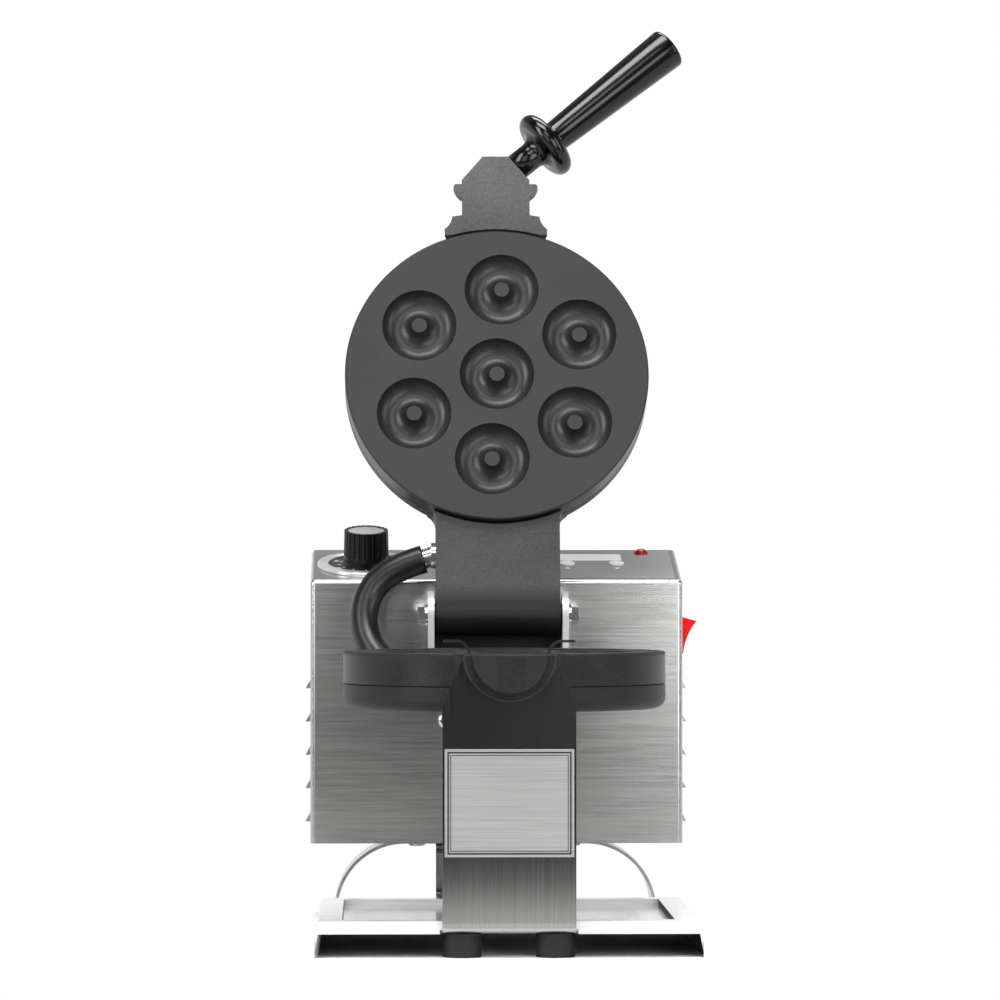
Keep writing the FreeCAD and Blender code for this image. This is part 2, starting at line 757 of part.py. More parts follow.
def bearing_hole(place):
    return rod(SCREW_R, place - Y_AXIS, place + Y_AXIS * (BOX_T + BEARING_T + 2))


def bearing_bush():
    start = BOX_FRONT + BOX_T
    outer = AXLE_R + RUN_FIT + BEARING_WALL
    tube = rod(outer, V(0, start, 0), V(0, start + BEARING_LENGTH, 0))
    return tube.cut(rod(AXLE_R + RUN_FIT, V(0, start - 1, 0), V(0, start + BEARING_LENGTH + 1, 0)))


def bearing_screws():
    depth = BOX_T + BEARING_T + 2
    return group([screw(place, Y_AXIS, depth, head_r=DOME_R, head_t=DOME_T) for place in bearing_places()])


# Stand strip: front upright, bottom run, rear upright and flange under the box
def bend_piece(centre_y, centre_z, side_y, side_z):
    outer = rod(STRIP_BEND, V(-STRIP_HALF, centre_y, centre_z), V(STRIP_HALF, centre_y, centre_z))
    inner = rod(STRIP_BEND - STRIP_T, V(-STRIP_HALF, centre_y, centre_z), V(STRIP_HALF, centre_y, centre_z))
    low_y, high_y = sorted((centre_y, centre_y + side_y * STRIP_BEND))
    low_z, high_z = sorted((centre_z, centre_z + side_z * STRIP_BEND))
    return outer.cut(inner).common(box(-STRIP_HALF, STRIP_HALF, low_y, high_y, low_z, high_z))


def stand_strip():
    front_centre = FRONT_Y + STRIP_BEND
    low_centre = STRIP_LOW + STRIP_BEND
    rear_out = BOX_FRONT + STRIP_T + STRIP_T
    rear_centre = rear_out - STRIP_BEND
    flange_top = BOX_LOW
    flange_centre_y = rear_out - STRIP_T + STRIP_BEND
    flange_centre_z = flange_top - STRIP_BEND
    upright = prism([
        V(-STRIP_HALF, FRONT_Y, low_centre),
        V(STRIP_HALF, FRONT_Y, low_centre),
        V(STRIP_HALF, FRONT_Y, SHOULDER_Z),
        V(math.sqrt(CRADLE_R ** 2 - (AXIS_Z - APEX_Z) ** 2), FRONT_Y, APEX_Z),
        V(-math.sqrt(CRADLE_R ** 2 - (AXIS_Z - APEX_Z) ** 2), FRONT_Y, APEX_Z),
        V(-STRIP_HALF, FRONT_Y, SHOULDER_Z),
    ], V(0, STRIP_T, 0))
    upright = upright.cut(rod(CRADLE_R, V(0, FRONT_Y - 1, AXIS_Z), V(0, FRONT_Y + STRIP_T + 1, AXIS_Z)))
    pieces = [
        upright,
        bend_piece(front_centre, low_centre, -1, -1),
        box(-STRIP_HALF, STRIP_HALF, front_centre, rear_centre, STRIP_LOW, STRIP_TOP),
        bend_piece(rear_centre, low_centre, 1, -1),
        box(-STRIP_HALF, STRIP_HALF, rear_out - STRIP_T, rear_out, low_centre, flange_centre_z),
        bend_piece(flange_centre_y, flange_centre_z, -1, 1),
        box(
            -STRIP_HALF, STRIP_HALF, flange_centre_y, rear_out + STRIP_FLANGE,
            flange_top - STRIP_T, flange_top,
        ),
    ]
    body = fuse(pieces)
    holes = [stand_bolt_hole(place) for place in flange_bolt_places()]
    for side in (-1, 1):
        foot = V(side * FOOT_X, FOOT_Y, 0)
        holes.append(rod(FOOT_STEM_R, foot, foot + V(0, 0, STRIP_TOP + 1)))
    return body.cut(group(holes))


# Half-round saddle with flared ends that lines the cradle
def cradle_saddle():
    front = FRONT_Y
    rear = FRONT_Y + SADDLE_DEPTH
    flare = CRADLE_R - SADDLE_IN
    neck_y = front + flare
    corner = math.sqrt(0.5)
    tight = flare - SADDLE_T
    profile = [
        arc(
            V(CRADLE_R, front, 0),
            V(CRADLE_R - flare * corner, neck_y - flare * corner, 0),
            V(SADDLE_IN, neck_y, 0),
        ),
        line(V(SADDLE_IN, neck_y, 0), V(SADDLE_IN, rear, 0)),
        line(V(SADDLE_IN, rear, 0), V(SADDLE_IN + SADDLE_T, rear, 0)),
        line(V(SADDLE_IN + SADDLE_T, rear, 0), V(SADDLE_IN + SADDLE_T, neck_y, 0)),
        arc(
            V(SADDLE_IN + SADDLE_T, neck_y, 0),
            V(CRADLE_R - tight * corner, neck_y - tight * corner, 0),
            V(CRADLE_R, front + SADDLE_T, 0),
        ),
        line(V(CRADLE_R, front + SADDLE_T, 0), V(CRADLE_R, front, 0)),
    ]
    lip = box(SADDLE_IN + SADDLE_T, CRADLE_R + 1, front - 1, rear + 1, APEX_Z - AXIS_Z, 1)
    saddle = turned(profile, Y_AXIS, 180).cut(group([lip, mirrored_x(lip)]))
    horn_x = SADDLE_IN + SADDLE_T / 2 + HORN_R
    horn_y = front + SADDLE_T
    outer = rod(HORN_R + SADDLE_T / 2, V(horn_x, horn_y, 0), V(horn_x, rear, 0))
    inner = rod(HORN_R - SADDLE_T / 2, V(horn_x, horn_y, 0), V(horn_x, rear, 0))
    curl = outer.cut(inner).common(box(0, horn_x, horn_y, rear, 0, 2 * HORN_R))
    flat = box(horn_x, HORN_TIP, horn_y, rear, HORN_R - SADDLE_T / 2, HORN_R + SADDLE_T / 2)
    horn = fuse([curl, flat])
    return fuse([saddle, horn, mirrored_x(horn)])


def label_plate():
    return box(-LABEL_HALF, LABEL_HALF, FRONT_Y - LABEL_T, FRONT_Y, LABEL_LOW, LABEL_HIGH)


def front_foot():
    pad = rod(FOOT_R, V(FOOT_X, FOOT_Y, 0), V(FOOT_X, FOOT_Y, STRIP_LOW))
    stem = rod(FOOT_STEM_R, V(FOOT_X, FOOT_Y, STRIP_LOW), V(FOOT_X, FOOT_Y, STRIP_TOP))
    return fuse([pad, stem])


# Drip tray: shallow well, flared skirts at the sides, short lips at both ends
def drip_tray():
    pan_low = STRIP_TOP + TRAY_SEAT
    foot_half = TRAY_HALF + TRAY_FLARE
    outer = prism([
        V(-foot_half, TRAY_FRONT, 0),
        V(foot_half, TRAY_FRONT, 0),
        V(TRAY_HALF, TRAY_FRONT, TRAY_TOP),
        V(-TRAY_HALF, TRAY_FRONT, TRAY_TOP),
    ], V(0, TRAY_REAR - TRAY_FRONT, 0))
    side = TRAY_SHEET
    below = prism([
        V(-foot_half + side, TRAY_FRONT + side, -1),
        V(foot_half - side, TRAY_FRONT + side, -1),
        V(TRAY_HALF - side, TRAY_FRONT + side, TRAY_TOP - TRAY_SHEET),
        V(-TRAY_HALF + side, TRAY_FRONT + side, TRAY_TOP - TRAY_SHEET),
    ], V(0, TRAY_REAR - TRAY_FRONT - 2 * side, 0))
    well_half = TRAY_HALF - TRAY_RIM
    well_front = TRAY_FRONT + TRAY_RIM
    well_rear = TRAY_REAR - TRAY_RIM
    pan = box(
        -well_half - side, well_half + side, well_front - side, well_rear + side, pan_low, TRAY_TOP
    )
    well = box(-well_half, well_half, well_front, well_rear, pan_low + TRAY_SHEET, TRAY_TOP + 1)
    body = fuse([outer.cut(below), pan]).cut(well)
    lip_low = TRAY_TOP - TRAY_LIP
    inner_half = foot_half - 2 * side
    open_front = box(-inner_half, inner_half, TRAY_FRONT - 1, TRAY_FRONT + 2 * side, -1, lip_low)
    open_rear = box(-inner_half, inner_half, TRAY_REAR - 2 * side, TRAY_REAR + 1, -1, lip_low)
    notch_half = STRIP_HALF + NOTCH_SIDE
    notch = box(-notch_half, notch_half, TRAY_FRONT - 1, TRAY_REAR + 1, -1, STRIP_TOP + NOTCH_TOP)
    keep = box(-notch_half, notch_half, well_front - side, well_rear + side, pan_low, TRAY_TOP)
    return body.cut(group([open_front, open_rear])).cut(notch.cut(keep))


# Folded box shell: front, sides and sloping top
def box_outline(inset):
    rise = BOX_RISE / BOX_DEPTH
    front = BOX_FRONT + inset
    drop = inset / math.cos(math.radians(SLOPE))
    return [
        V(-BOX_HALF + inset, front, BOX_LOW),
        V(-BOX_HALF + inset, front, BOX_FRONT_TOP + inset * rise - drop),
        V(-BOX_HALF + inset, BOX_REAR, BOX_FRONT_TOP + BOX_RISE - drop),
        V(-BOX_HALF + inset, BOX_REAR, BOX_LOW),
    ]


def louvre_heights():
    return [LOUVRE_LOW + LOUVRE_PITCH * index for index in range(LOUVRE_COUNT)]


def louvre(height):
    travel = V(0, LOUVRE_LENGTH, 0)
    return prism([
        V(BOX_HALF - BOX_T / 2, LOUVRE_START, height),
        V(BOX_HALF + LOUVRE_OUT, LOUVRE_START, height),
        V(BOX_HALF, LOUVRE_START, height + LOUVRE_H),
        V(BOX_HALF - BOX_T / 2, LOUVRE_START, height + LOUVRE_H),
    ], travel)


def louvre_slot(height):
    travel = V(0, LOUVRE_LENGTH - 2 * LOUVRE_WALL, 0)
    start = LOUVRE_START + LOUVRE_WALL
    return prism([
        V(BOX_HALF - BOX_T - 1, start, height - 0.01),
        V(BOX_HALF + LOUVRE_OUT - LOUVRE_WALL, start, height - 0.01),
        V(BOX_HALF, start, height + LOUVRE_H - 2 * LOUVRE_WALL),
        V(BOX_HALF - BOX_T - 1, start, height + LOUVRE_H - 2 * LOUVRE_WALL),
    ], travel)


def panel_holes():
    depth = V(0, 0, -2 * BOX_T)
    up = V(0, 0, OVERLAY_T + 1)
    holes = []
    for place in BUTTON_X:
        centre = V(place, BUTTON_V, 0)
        holes.append(rod(BUTTON_R + BUTTON_CLEAR, centre + depth, centre + up))
    lamp = V(LAMP_X, LAMP_V, 0)
    holes.append(rod(LAMP_BODY_R + SEAT_FIT, lamp + depth, lamp + up))
    dial = V(DIAL_X, DIAL_V, 0)
    holes.append(rod(THERMO_NECK_R + SEAT_FIT, dial + depth, dial + up))
    holes.append(box(DISPLAY_LEFT, DISPLAY_RIGHT, DISPLAY_FRONT, DISPLAY_REAR, -2 * BOX_T, OVERLAY_T + 1))
    return group(holes)


def box_shell():
    outer = prism(box_outline(0), V(2 * BOX_HALF, 0, 0))
    edges = []
    for edge in outer.Edges:
        bound = edge.BoundBox
        at_rear = bound.YMin > BOX_REAR - 0.01
        at_bottom = bound.ZMax < BOX_LOW + 0.01
        if not at_rear and not at_bottom:
            edges.append(edge)
    outer = outer.makeFillet(BOX_EDGE, edges)
    inner = prism(box_outline(BOX_T), V(2 * (BOX_HALF - BOX_T), 0, 0))
    shell = outer.cut(inner)
    hoods = [louvre(height) for height in louvre_heights()]
    slots = [louvre_slot(height) for height in louvre_heights()]
    hoods += [mirrored_x(hood) for hood in hoods]
    slots += [mirrored_x(slot) for slot in slots]
    shell = fuse([shell] + hoods).cut(group(slots))
    shell = shell.cut(on_panel(panel_holes()))
    axle_hole = rod(AXLE_R + 1, V(0, BOX_FRONT - 1, AXIS_Z), V(0, BOX_FRONT + 2 * BOX_T, AXIS_Z))
    screw_holes = [at_axis(bearing_hole(place)) for place in bearing_places()]
    return shell.cut(group([axle_hole, rocker_window(SHEET_FIT)] + screw_holes))


def box_bottom():
    half = BOX_HALF - BOX_T - SHEET_FIT
    front = BOX_FRONT + BOX_T + SHEET_FIT
    floor = box(-half, half, front, BOX_REAR - BOX_T - SHEET_FIT, BOX_LOW, BOX_LOW + BOX_T)
    wall = box(half - BOX_T, half, front, BOX_REAR - BOX_T - SHEET_FIT, BOX_LOW, BOX_LOW + LIP_H)
    body = fuse([floor, wall, mirrored_x(wall)])
    return body.cut(group([stand_bolt_hole(place) for place in flange_bolt_places() + arch_bolt_places()]))


def back_screw_places():
    low = BOX_LOW + BACK_SCREW_IN + LIP_H
    high = BOX_FRONT_TOP - BACK_SCREW_IN
    reach = BOX_HALF - BOX_T - SHEET_FIT - BACK_SCREW_IN
    return [V(side * reach, BOX_REAR, height) for side in (-1, 1) for height in (low, high)]


def box_back():
    half = BOX_HALF - BOX_T - SHEET_FIT
    top = BOX_FRONT_TOP + BOX_RISE - 2 * BOX_T - BOX_RISE / BOX_DEPTH * BOX_T
    sheet = box(-half, half, BOX_REAR - BOX_T, BOX_REAR, BOX_LOW, top)
    tab = box(half - BOX_T, half, BOX_REAR - BACK_TAB, BOX_REAR, BOX_LOW + LIP_H + 1, BOX_FRONT_TOP)
    body = fuse([sheet, tab, mirrored_x(tab)])
    holes = [rod(SCREW_R, place - Y_AXIS * 2 * BOX_T, place + Y_AXIS) for place in back_screw_places()]
    entry = V(GLAND_X, BOX_REAR, GLAND_Z)
    holes.append(rod(GLAND_THREAD_R + SEAT_FIT, entry - Y_AXIS * 2 * BOX_T, entry + Y_AXIS))
    return body.cut(group(holes))


def back_screws():
    return group([screw(place, -Y_AXIS, 3 * BOX_T) for place in back_screw_places()])


def cable_gland():
    entry = V(GLAND_X, BOX_REAR, GLAND_Z)
    nut = rod(GLAND_NUT_R, entry, entry + Y_AXIS * GLAND_NUT_T)
    dome = rod(GLAND_DOME_R, entry, entry + Y_AXIS * (GLAND_NUT_T + GLAND_DOME_T))
    thread = rod(GLAND_THREAD_R, entry - Y_AXIS * GLAND_THREAD, entry)
    ring = rod(GLAND_NUT_R, entry - Y_AXIS * (BOX_T + GLAND_NUT_T), entry - Y_AXIS * BOX_T)
    bore = rod(GLAND_BORE, entry - Y_AXIS * 2 * GLAND_THREAD, entry + Y_AXIS * 3 * GLAND_DOME_T)
    return fuse([nut, dome, thread, ring]).cut(bore)


def terminal_block():
    low = BOX_LOW + BOX_T
    high = low + BLOCK_HEIGHT
    half = BLOCK_WIDTH / 2
    body = box(-half, half, BLOCK_Y, BLOCK_Y + BLOCK_DEPTH, low, high)
    pitch = BLOCK_WIDTH / 6
    holes = []
    for index in range(6):
        centre = V(pitch * (index + 0.5) - half, BLOCK_Y + BLOCK_DEPTH / 2, high)
        holes.append(rod(pitch / 4, centre - V(0, 0, BLOCK_HEIGHT / 2), centre + V(0, 0, 1)))
    return body.cut(group(holes))


# Arch stand with quarter-round legs
def arch_stand():
    top = BOX_LOW
    centre = V(ARCH_FLAT, ARCH_START, top - ARCH_BEND)
    way = V(0, ARCH_WIDTH, 0)
    ring = rod(ARCH_BEND, centre, centre + way).cut(rod(ARCH_BEND - ARCH_T, centre, centre + way))
    leg = ring.common(box(ARCH_FLAT, 2 * ARCH_FLAT, ARCH_START, ARCH_START + ARCH_WIDTH, centre.z, top))
    flat = box(-ARCH_FLAT, ARCH_FLAT, ARCH_START, ARCH_START + ARCH_WIDTH, top - ARCH_T, top)
    body = fuse([flat, leg, mirrored_x(leg)])
    return body.cut(group([stand_bolt_hole(place) for place in arch_bolt_places()]))


def rear_foot():
    leg_out = ARCH_FLAT + ARCH_BEND
    leg_in = leg_out - ARCH_T
    block = box(
        leg_in - ARCH_FOOT_WALL, leg_out + ARCH_FOOT_WALL,
        ARCH_START, ARCH_START + ARCH_WIDTH, 0, ARCH_FOOT_H,
    )
    return block.cut(arch_stand())


def arch_bolt_places():
    middle = ARCH_START + ARCH_WIDTH / 2
    return [V(side * ARCH_BOLT_X, middle, BOX_LOW - ARCH_T) for side in (-1, 1)]


def flange_bolt_places():
    middle = BOX_FRONT + STRIP_T + STRIP_FLANGE / 2 + STRIP_BEND / 2
    return [V(side * FLANGE_BOLT_X, middle, BOX_LOW - STRIP_T) for side in (-1, 1)]


def stand_bolt_hole(place):
    return rod(STAND_BOLT_R, place - Z_AXIS, place + Z_AXIS * (STRIP_T + BOX_T + 2))


def stand_bolts():
    bolts = []
    for place in arch_bolt_places() + flange_bolt_places():
        reach = STRIP_T + BOX_T
        bolt = screw(
            place, Z_AXIS, reach + STAND_NUT_T + 1,
            radius=STAND_BOLT_R, head_r=STAND_BOLT_HEAD_R, head_t=STAND_BOLT_HEAD_T,
        )
        seat = place + Z_AXIS * reach
        bolts.append(fuse([bolt, rod(STAND_NUT_R, seat, seat + Z_AXIS * STAND_NUT_T)]))
    return group(bolts)


# Pieces on the sloping panel, flat at Z = 0 before they are placed
def panel_overlay():
    sheet = box(OVERLAY_LEFT, OVERLAY_RIGHT, OVERLAY_FRONT, OVERLAY_REAR, 0, OVERLAY_T)
    return sheet.cut(panel_holes())


def display_window():
    return box(
        DISPLAY_LEFT + SHEET_FIT, DISPLAY_RIGHT - SHEET_FIT,
        DISPLAY_FRONT + SHEET_FIT, DISPLAY_REAR - SHEET_FIT, OVERLAY_T - DISPLAY_T, OVERLAY_T,
    )


def button(place):
    top = OVERLAY_T + BUTTON_UP
    rim_top = -BOX_T - BUTTON_CLEAR
    stem_low = switch_top() + BUTTON_TRAVEL + BUTTON_CLEAR
    cap = rod(BUTTON_R, V(place, BUTTON_V, rim_top - BUTTON_RIM_T), V(place, BUTTON_V, top))
    crown = [e for e in cap.Edges if abs(e.CenterOfMass.z - top) < 0.01]
    cap = cap.makeFillet(BUTTON_UP / 2, crown[:1])
    rim_r = BUTTON_R + BUTTON_RIM
    rim = rod(rim_r, V(place, BUTTON_V, rim_top - BUTTON_RIM_T), V(place, BUTTON_V, rim_top))
    stem = rod(BUTTON_STEM_R, V(place, BUTTON_V, stem_low), V(place, BUTTON_V, rim_top - BUTTON_RIM_T))
    return fuse([cap, rim, stem])


def switch_top():
    return -BOARD_DEPTH + 2 * SWITCH_HALF


def timer_board():
    board = box(BOARD_LEFT, BOARD_RIGHT, BOARD_FRONT, BOARD_REAR, -BOARD_DEPTH - BOARD_T, -BOARD_DEPTH)
    pieces = [board]
    for x in (BOARD_LEFT, BOARD_RIGHT - 2 * POST_SIZE):
        for v in (BOARD_FRONT, BOARD_REAR - 2 * POST_SIZE):
            pieces.append(box(x, x + 2 * POST_SIZE, v, v + 2 * POST_SIZE, -BOARD_DEPTH, -BOX_T))
    for place in BUTTON_X:
        pieces.append(box(
            place - SWITCH_HALF, place + SWITCH_HALF, BUTTON_V - SWITCH_HALF, BUTTON_V + SWITCH_HALF,
            -BOARD_DEPTH, switch_top(),
        ))
    pieces.append(box(
        DISPLAY_LEFT + BOX_T, DISPLAY_RIGHT - BOX_T, DISPLAY_FRONT + BOX_T, DISPLAY_REAR - BOX_T,
        -BOARD_DEPTH, OVERLAY_T - DISPLAY_T,
    ))
    return fuse(pieces)


def indicator_lens():
    centre = V(LAMP_X, LAMP_V, OVERLAY_T)
    ball_r = (LAMP_R ** 2 + LAMP_UP ** 2) / (2 * LAMP_UP)
    ball = Part.makeSphere(ball_r, centre + V(0, 0, LAMP_UP - ball_r))
    keep = rod(2 * LAMP_R, centre, centre + V(0, 0, 2 * LAMP_UP))
    body = rod(LAMP_BODY_R, centre - V(0, 0, LAMP_BODY), centre)
    return fuse([ball.common(keep), body])


def dial_point(height):
    return V(DIAL_X, DIAL_V, height)


def dial_bezel():
    ring = rod(BEZEL_R, dial_point(0), dial_point(BEZEL_H))
    edge = [e for e in ring.Edges if abs(e.CenterOfMass.z - BEZEL_H) < 0.01]
    ring = ring.makeFillet(BEZEL_ROUND, edge[:1])
    return ring.cut(rod(BEZEL_IN, dial_point(-1), dial_point(BEZEL_H + 1)))


def dial_plate():
    disc = rod(DIAL_R, dial_point(0), dial_point(DIAL_T))
    return disc.cut(rod(THERMO_NECK_R + SEAT_FIT, dial_point(-1), dial_point(DIAL_T + 1)))


def thermostat():
    body = rod(THERMO_R, dial_point(-BOX_T - THERMO_H), dial_point(-BOX_T))
    neck = rod(THERMO_NECK_R, dial_point(-BOX_T), dial_point(DIAL_T))
    bore = rod(SHAFT_R + RUN_FIT, dial_point(-BOX_T - THERMO_H / 2), dial_point(DIAL_T + 1))
    return fuse([body, neck]).cut(bore)


def thermostat_shaft():
    low = -BOX_T - THERMO_H / 2 + KNOB_UP / 2
    return rod(SHAFT_R, dial_point(low), dial_point(KNOB_UP + SHAFT_IN_KNOB))


def knob():
    low = KNOB_UP
    high = KNOB_UP + KNOB_H
    body = Part.makeCone(KNOB_R, KNOB_TOP_R, KNOB_H, dial_point(low), Z_AXIS)
    flutes = []
    for index in range(FLUTE_COUNT):
        angle = math.radians(360 * index / FLUTE_COUNT)
        way = V(math.cos(angle), math.sin(angle), 0)
        start = dial_point(low + 3 * FLUTE_R) + way * (KNOB_R + FLUTE_R * FLUTE_INSET)
        end = dial_point(high + 1) + way * (KNOB_TOP_R + FLUTE_R * FLUTE_INSET)
        flutes.append(rod(FLUTE_R, start, end))
    body = body.cut(group(flutes))
    body = body.cut(rod(CAP_R + SEAT_FIT, dial_point(high - CAP_SINK - CAP_T), dial_point(high + 1)))
    return body.cut(rod(SHAFT_R + SEAT_FIT, dial_point(low - 1), dial_point(low + SHAFT_IN_KNOB)))


def knob_cap():
    high = KNOB_UP + KNOB_H - CAP_SINK
    return rod(CAP_R, dial_point(high - CAP_T), dial_point(high))


# Rocker switch on the right side
def rocker_window(clearance):
    half_y = ROCKER_WIDTH / 2 + ROCKER_CLEAR + HOUSING_WALL + clearance
    half_z = ROCKER_HALF + ROCKER_CLEAR + HOUSING_WALL + clearance
    inner = BOX_HALF - HOUSING_DEPTH
    return box(
        inner, BOX_HALF + 1,
        ROCKER_Y - half_y, ROCKER_Y + half_y, ROCKER_Z - half_z, ROCKER_Z + half_z,
    )


def rocker_housing():
    body = rocker_window(0).common(box(0, BOX_HALF, 0, 2 * ROCKER_Y, 0, 2 * ROCKER_Z))
    half_y = ROCKER_WIDTH / 2 + ROCKER_CLEAR + HOUSING_WALL + HOUSING_FLANGE
    half_z = ROCKER_HALF + ROCKER_CLEAR + HOUSING_WALL + HOUSING_FLANGE
    flange = box(
        BOX_HALF, BOX_HALF + HOUSING_FLANGE_T,
        ROCKER_Y - half_y, ROCKER_Y + half_y, ROCKER_Z - half_z, ROCKER_Z + half_z,
    )
    well_y = ROCKER_WIDTH / 2 + ROCKER_CLEAR
    well_z = ROCKER_HALF + ROCKER_CLEAR
    well = box(
        BOX_HALF - HOUSING_DEPTH + HOUSING_WALL, BOX_HALF + 2 * HOUSING_FLANGE_T,
        ROCKER_Y - well_y, ROCKER_Y + well_y, ROCKER_Z - well_z, ROCKER_Z + well_z,
    )
    pivot = V(BOX_HALF - PIVOT_IN, ROCKER_Y, ROCKER_Z)
    reach = Y_AXIS * (well_y + HOUSING_WALL / 2)
    pin = rod(PIVOT_R, pivot - reach, pivot + reach)
    return fuse([body, flange]).cut(well).fuse(pin)


def rocker_cap():
    start = ROCKER_Y - ROCKER_WIDTH / 2
    inner = BOX_HALF - ROCKER_SINK
    low = ROCKER_Z - ROCKER_HALF
    high = ROCKER_Z + ROCKER_HALF
    dish = ROCKER_OUT_LOW + (ROCKER_OUT_HIGH - ROCKER_OUT_LOW) * ROCKER_DISH
    low_edge = V(BOX_HALF + ROCKER_OUT_LOW, start, low)
    crest = V(BOX_HALF + ROCKER_OUT_HIGH, start, ROCKER_Z + ROCKER_HALF * ROCKER_CREST)
    face = Part.Face(Part.Wire([
        line(V(inner, start, low), low_edge),
        arc(low_edge, V(BOX_HALF + dish, start, ROCKER_Z), crest),
        line(crest, V(BOX_HALF, start, high)),
        line(V(BOX_HALF, start, high), V(inner, start, high)),
        line(V(inner, start, high), V(inner, start, low)),
    ]))
    body = face.extrude(V(0, ROCKER_WIDTH, 0))
    pivot = V(BOX_HALF - PIVOT_IN, ROCKER_Y, ROCKER_Z)
    way = Y_AXIS * (ROCKER_WIDTH / 2)
    boss = rod(2 * PIVOT_R, pivot - way, pivot + way)
    neck = box(
        pivot.x, inner + ROCKER_SINK, start, start + ROCKER_WIDTH,
        ROCKER_Z - 2 * PIVOT_R, ROCKER_Z + 2 * PIVOT_R,
    )
    return fuse([body, boss, neck]).cut(rod(PIVOT_R + RUN_FIT, pivot - way * 2, pivot + way * 2))


# Hose and its two glands
def gland_points():
    upper = V(-LID_ARM_HALF, UPPER_GLAND_Y, UPPER_GLAND_Z)
    lower = V(-EAR_IN, LOWER_GLAND_Y, LOWER_GLAND_Z)
    return upper, lower


def hose_end(seat, towards):
    way = (towards - seat).normalize()
    return seat + way * (NIPPLE_LENGTH - HOSE_OVERLAP)


def hose_gland(seat, towards):
    way = (towards - seat).normalize()
    nut = rod(NUT_R, seat, seat - X_AXIS * NUT_T)
    nipple = rod(NIPPLE_R, seat, seat + way * NIPPLE_LENGTH)
    count = int((NIPPLE_LENGTH - NUT_T) / THREAD_PITCH)
    grooves = []
    for index in range(count):
        start = seat + way * (NUT_T + 1 + THREAD_PITCH * index)
        end = start + way * (THREAD_PITCH / 2)
        grooves.append(rod(NIPPLE_R + 1, start, end).cut(rod(NIPPLE_R - THREAD_DEPTH, start, end)))
    body = fuse([nut, nipple.cut(group(grooves))])
    bore = rod(DUCT_R - 1, seat, seat + way * (NIPPLE_LENGTH + 1))
    reach = 2 * NUT_R
    keep = box(2 * seat.x, seat.x, seat.y - reach, seat.y + reach, seat.z - reach, seat.z + reach)
    return body.cut(bore).common(keep)


def hose():
    upper, lower = gland_points()
    points = [hose_end(upper, HOSE_ROUTE[0])] + list(HOSE_ROUTE) + [hose_end(lower, HOSE_ROUTE[-1])]
    edges = []
    last = points[0]
    for index in range(1, len(points) - 1):
        before = points[index - 1] - points[index]
        after = points[index + 1] - points[index]
        reach = BEND_SHARE * min(before.Length, after.Length)
        start = points[index] + before.normalize() * reach
        end = points[index] + after.normalize() * reach
        turn = math.pi - before.getAngle(after)
        radius = reach / math.tan(turn / 2)
        bisector = (before + after).normalize()
        middle = points[index] + bisector * (radius / math.cos(turn / 2) - radius)
        edges.append(line(last, start))
        edges.append(arc(start, middle, end))
        print("hose bend radius", round(radius, 1))
        last = end
    edges.append(line(last, points[-1]))
    path = Part.Wire(edges)
    tubes = []
    for radius in (HOSE_R, HOSE_BORE):
        ring = Part.Wire(Part.makeCircle(radius, points[0], points[1] - points[0]))
        tubes.append(path.makePipeShell([ring], True, False))
    tube = tubes[0].cut(tubes[1])
    section = math.pi * (HOSE_R ** 2 - HOSE_BORE ** 2)
    print("hose volume", round(tube.Volume, 1), "section times length", round(section * path.Length, 1))
    return tube


os.makedirs("parts", exist_ok=True)

# Stand
save("stand_strip", stand_strip())
save("cradle_saddle", at_axis(cradle_saddle()))
save("label_plate", label_plate())
save("front_feet", both_sides(front_foot()))
save("arch_stand", arch_stand())
save("rear_feet", both_sides(rear_foot()))
save("stand_bolts", stand_bolts())
save("drip_tray", drip_tray())

# Control box
save("box_shell", box_shell())
save("box_bottom", box_bottom())
save("box_back", box_back())
save("back_screws", back_screws())
save("cable_gland", cable_gland())
save("terminal_block", terminal_block())
save("bearing_housing", at_axis(bearing_housing()))
save("bearing_bush", at_axis(bearing_bush()))
save("bearing_screws", at_axis(bearing_screws()))

# Controls
save("panel_overlay", on_panel(panel_overlay()))
save("display_window", on_panel(display_window()))
save("timer_board", on_panel(timer_board()))
save("button_up", on_panel(button(BUTTON_X[0])))
save("button_down", on_panel(button(BUTTON_X[1])))
save("indicator_lens", on_panel(indicator_lens()))
save("dial_bezel", on_panel(dial_bezel()))
save("dial_plate", on_panel(dial_plate()))
save("thermostat", on_panel(thermostat()))
save("thermostat_shaft", on_panel(thermostat_shaft()))
save("knob", on_panel(knob()))
save("knob_cap", on_panel(knob_cap()))
save("rocker_housing", rocker_housing())
save("rocker_cap", rocker_cap())

# Turning lower half
save("axle", at_axis(axle()))
save("thrust_washer", at_axis(thrust_washer()))
save("axle_ring", at_axis(axle_ring()))
save("lower_plate", at_axis(plate()))
save("lower_cover", at_axis(lower_cover()))
save("lower_heater", at_axis(heater()))
save("lower_insulation", at_axis(insulation()))
save("lower_plate_screws", at_axis(plate_screws()))
save("hinge_ears", at_axis(both_sides(ear())))
save("ear_screws", at_axis(ear_screws()))
save("hinge_bolts", at_axis(both_sides(hinge_bolt())))
save("lower_gland", hose_gland(gland_points()[1], HOSE_ROUTE[-1]))

# Lid, modelled shut and turned open about the hinge
save("upper_plate", on_lid(upside(plate())))
save("upper_cover", upper_cover())
save("upper_heater", on_lid(upside(heater())))
save("upper_insulation", on_lid(upside(insulation())))
save("upper_plate_screws", on_lid(upside(plate_screws())))
save("hinge_bushes", on_lid(both_sides(hinge_bush())))
save("handle_stud", on_lid(handle_stud()))
save("handle_grip", on_lid(handle_grip()))
save("upper_gland", hose_gland(gland_points()[0], HOSE_ROUTE[0]))
save("hose", hose())
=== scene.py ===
import math

import bmesh
import bpy
from mathutils import Matrix, Vector


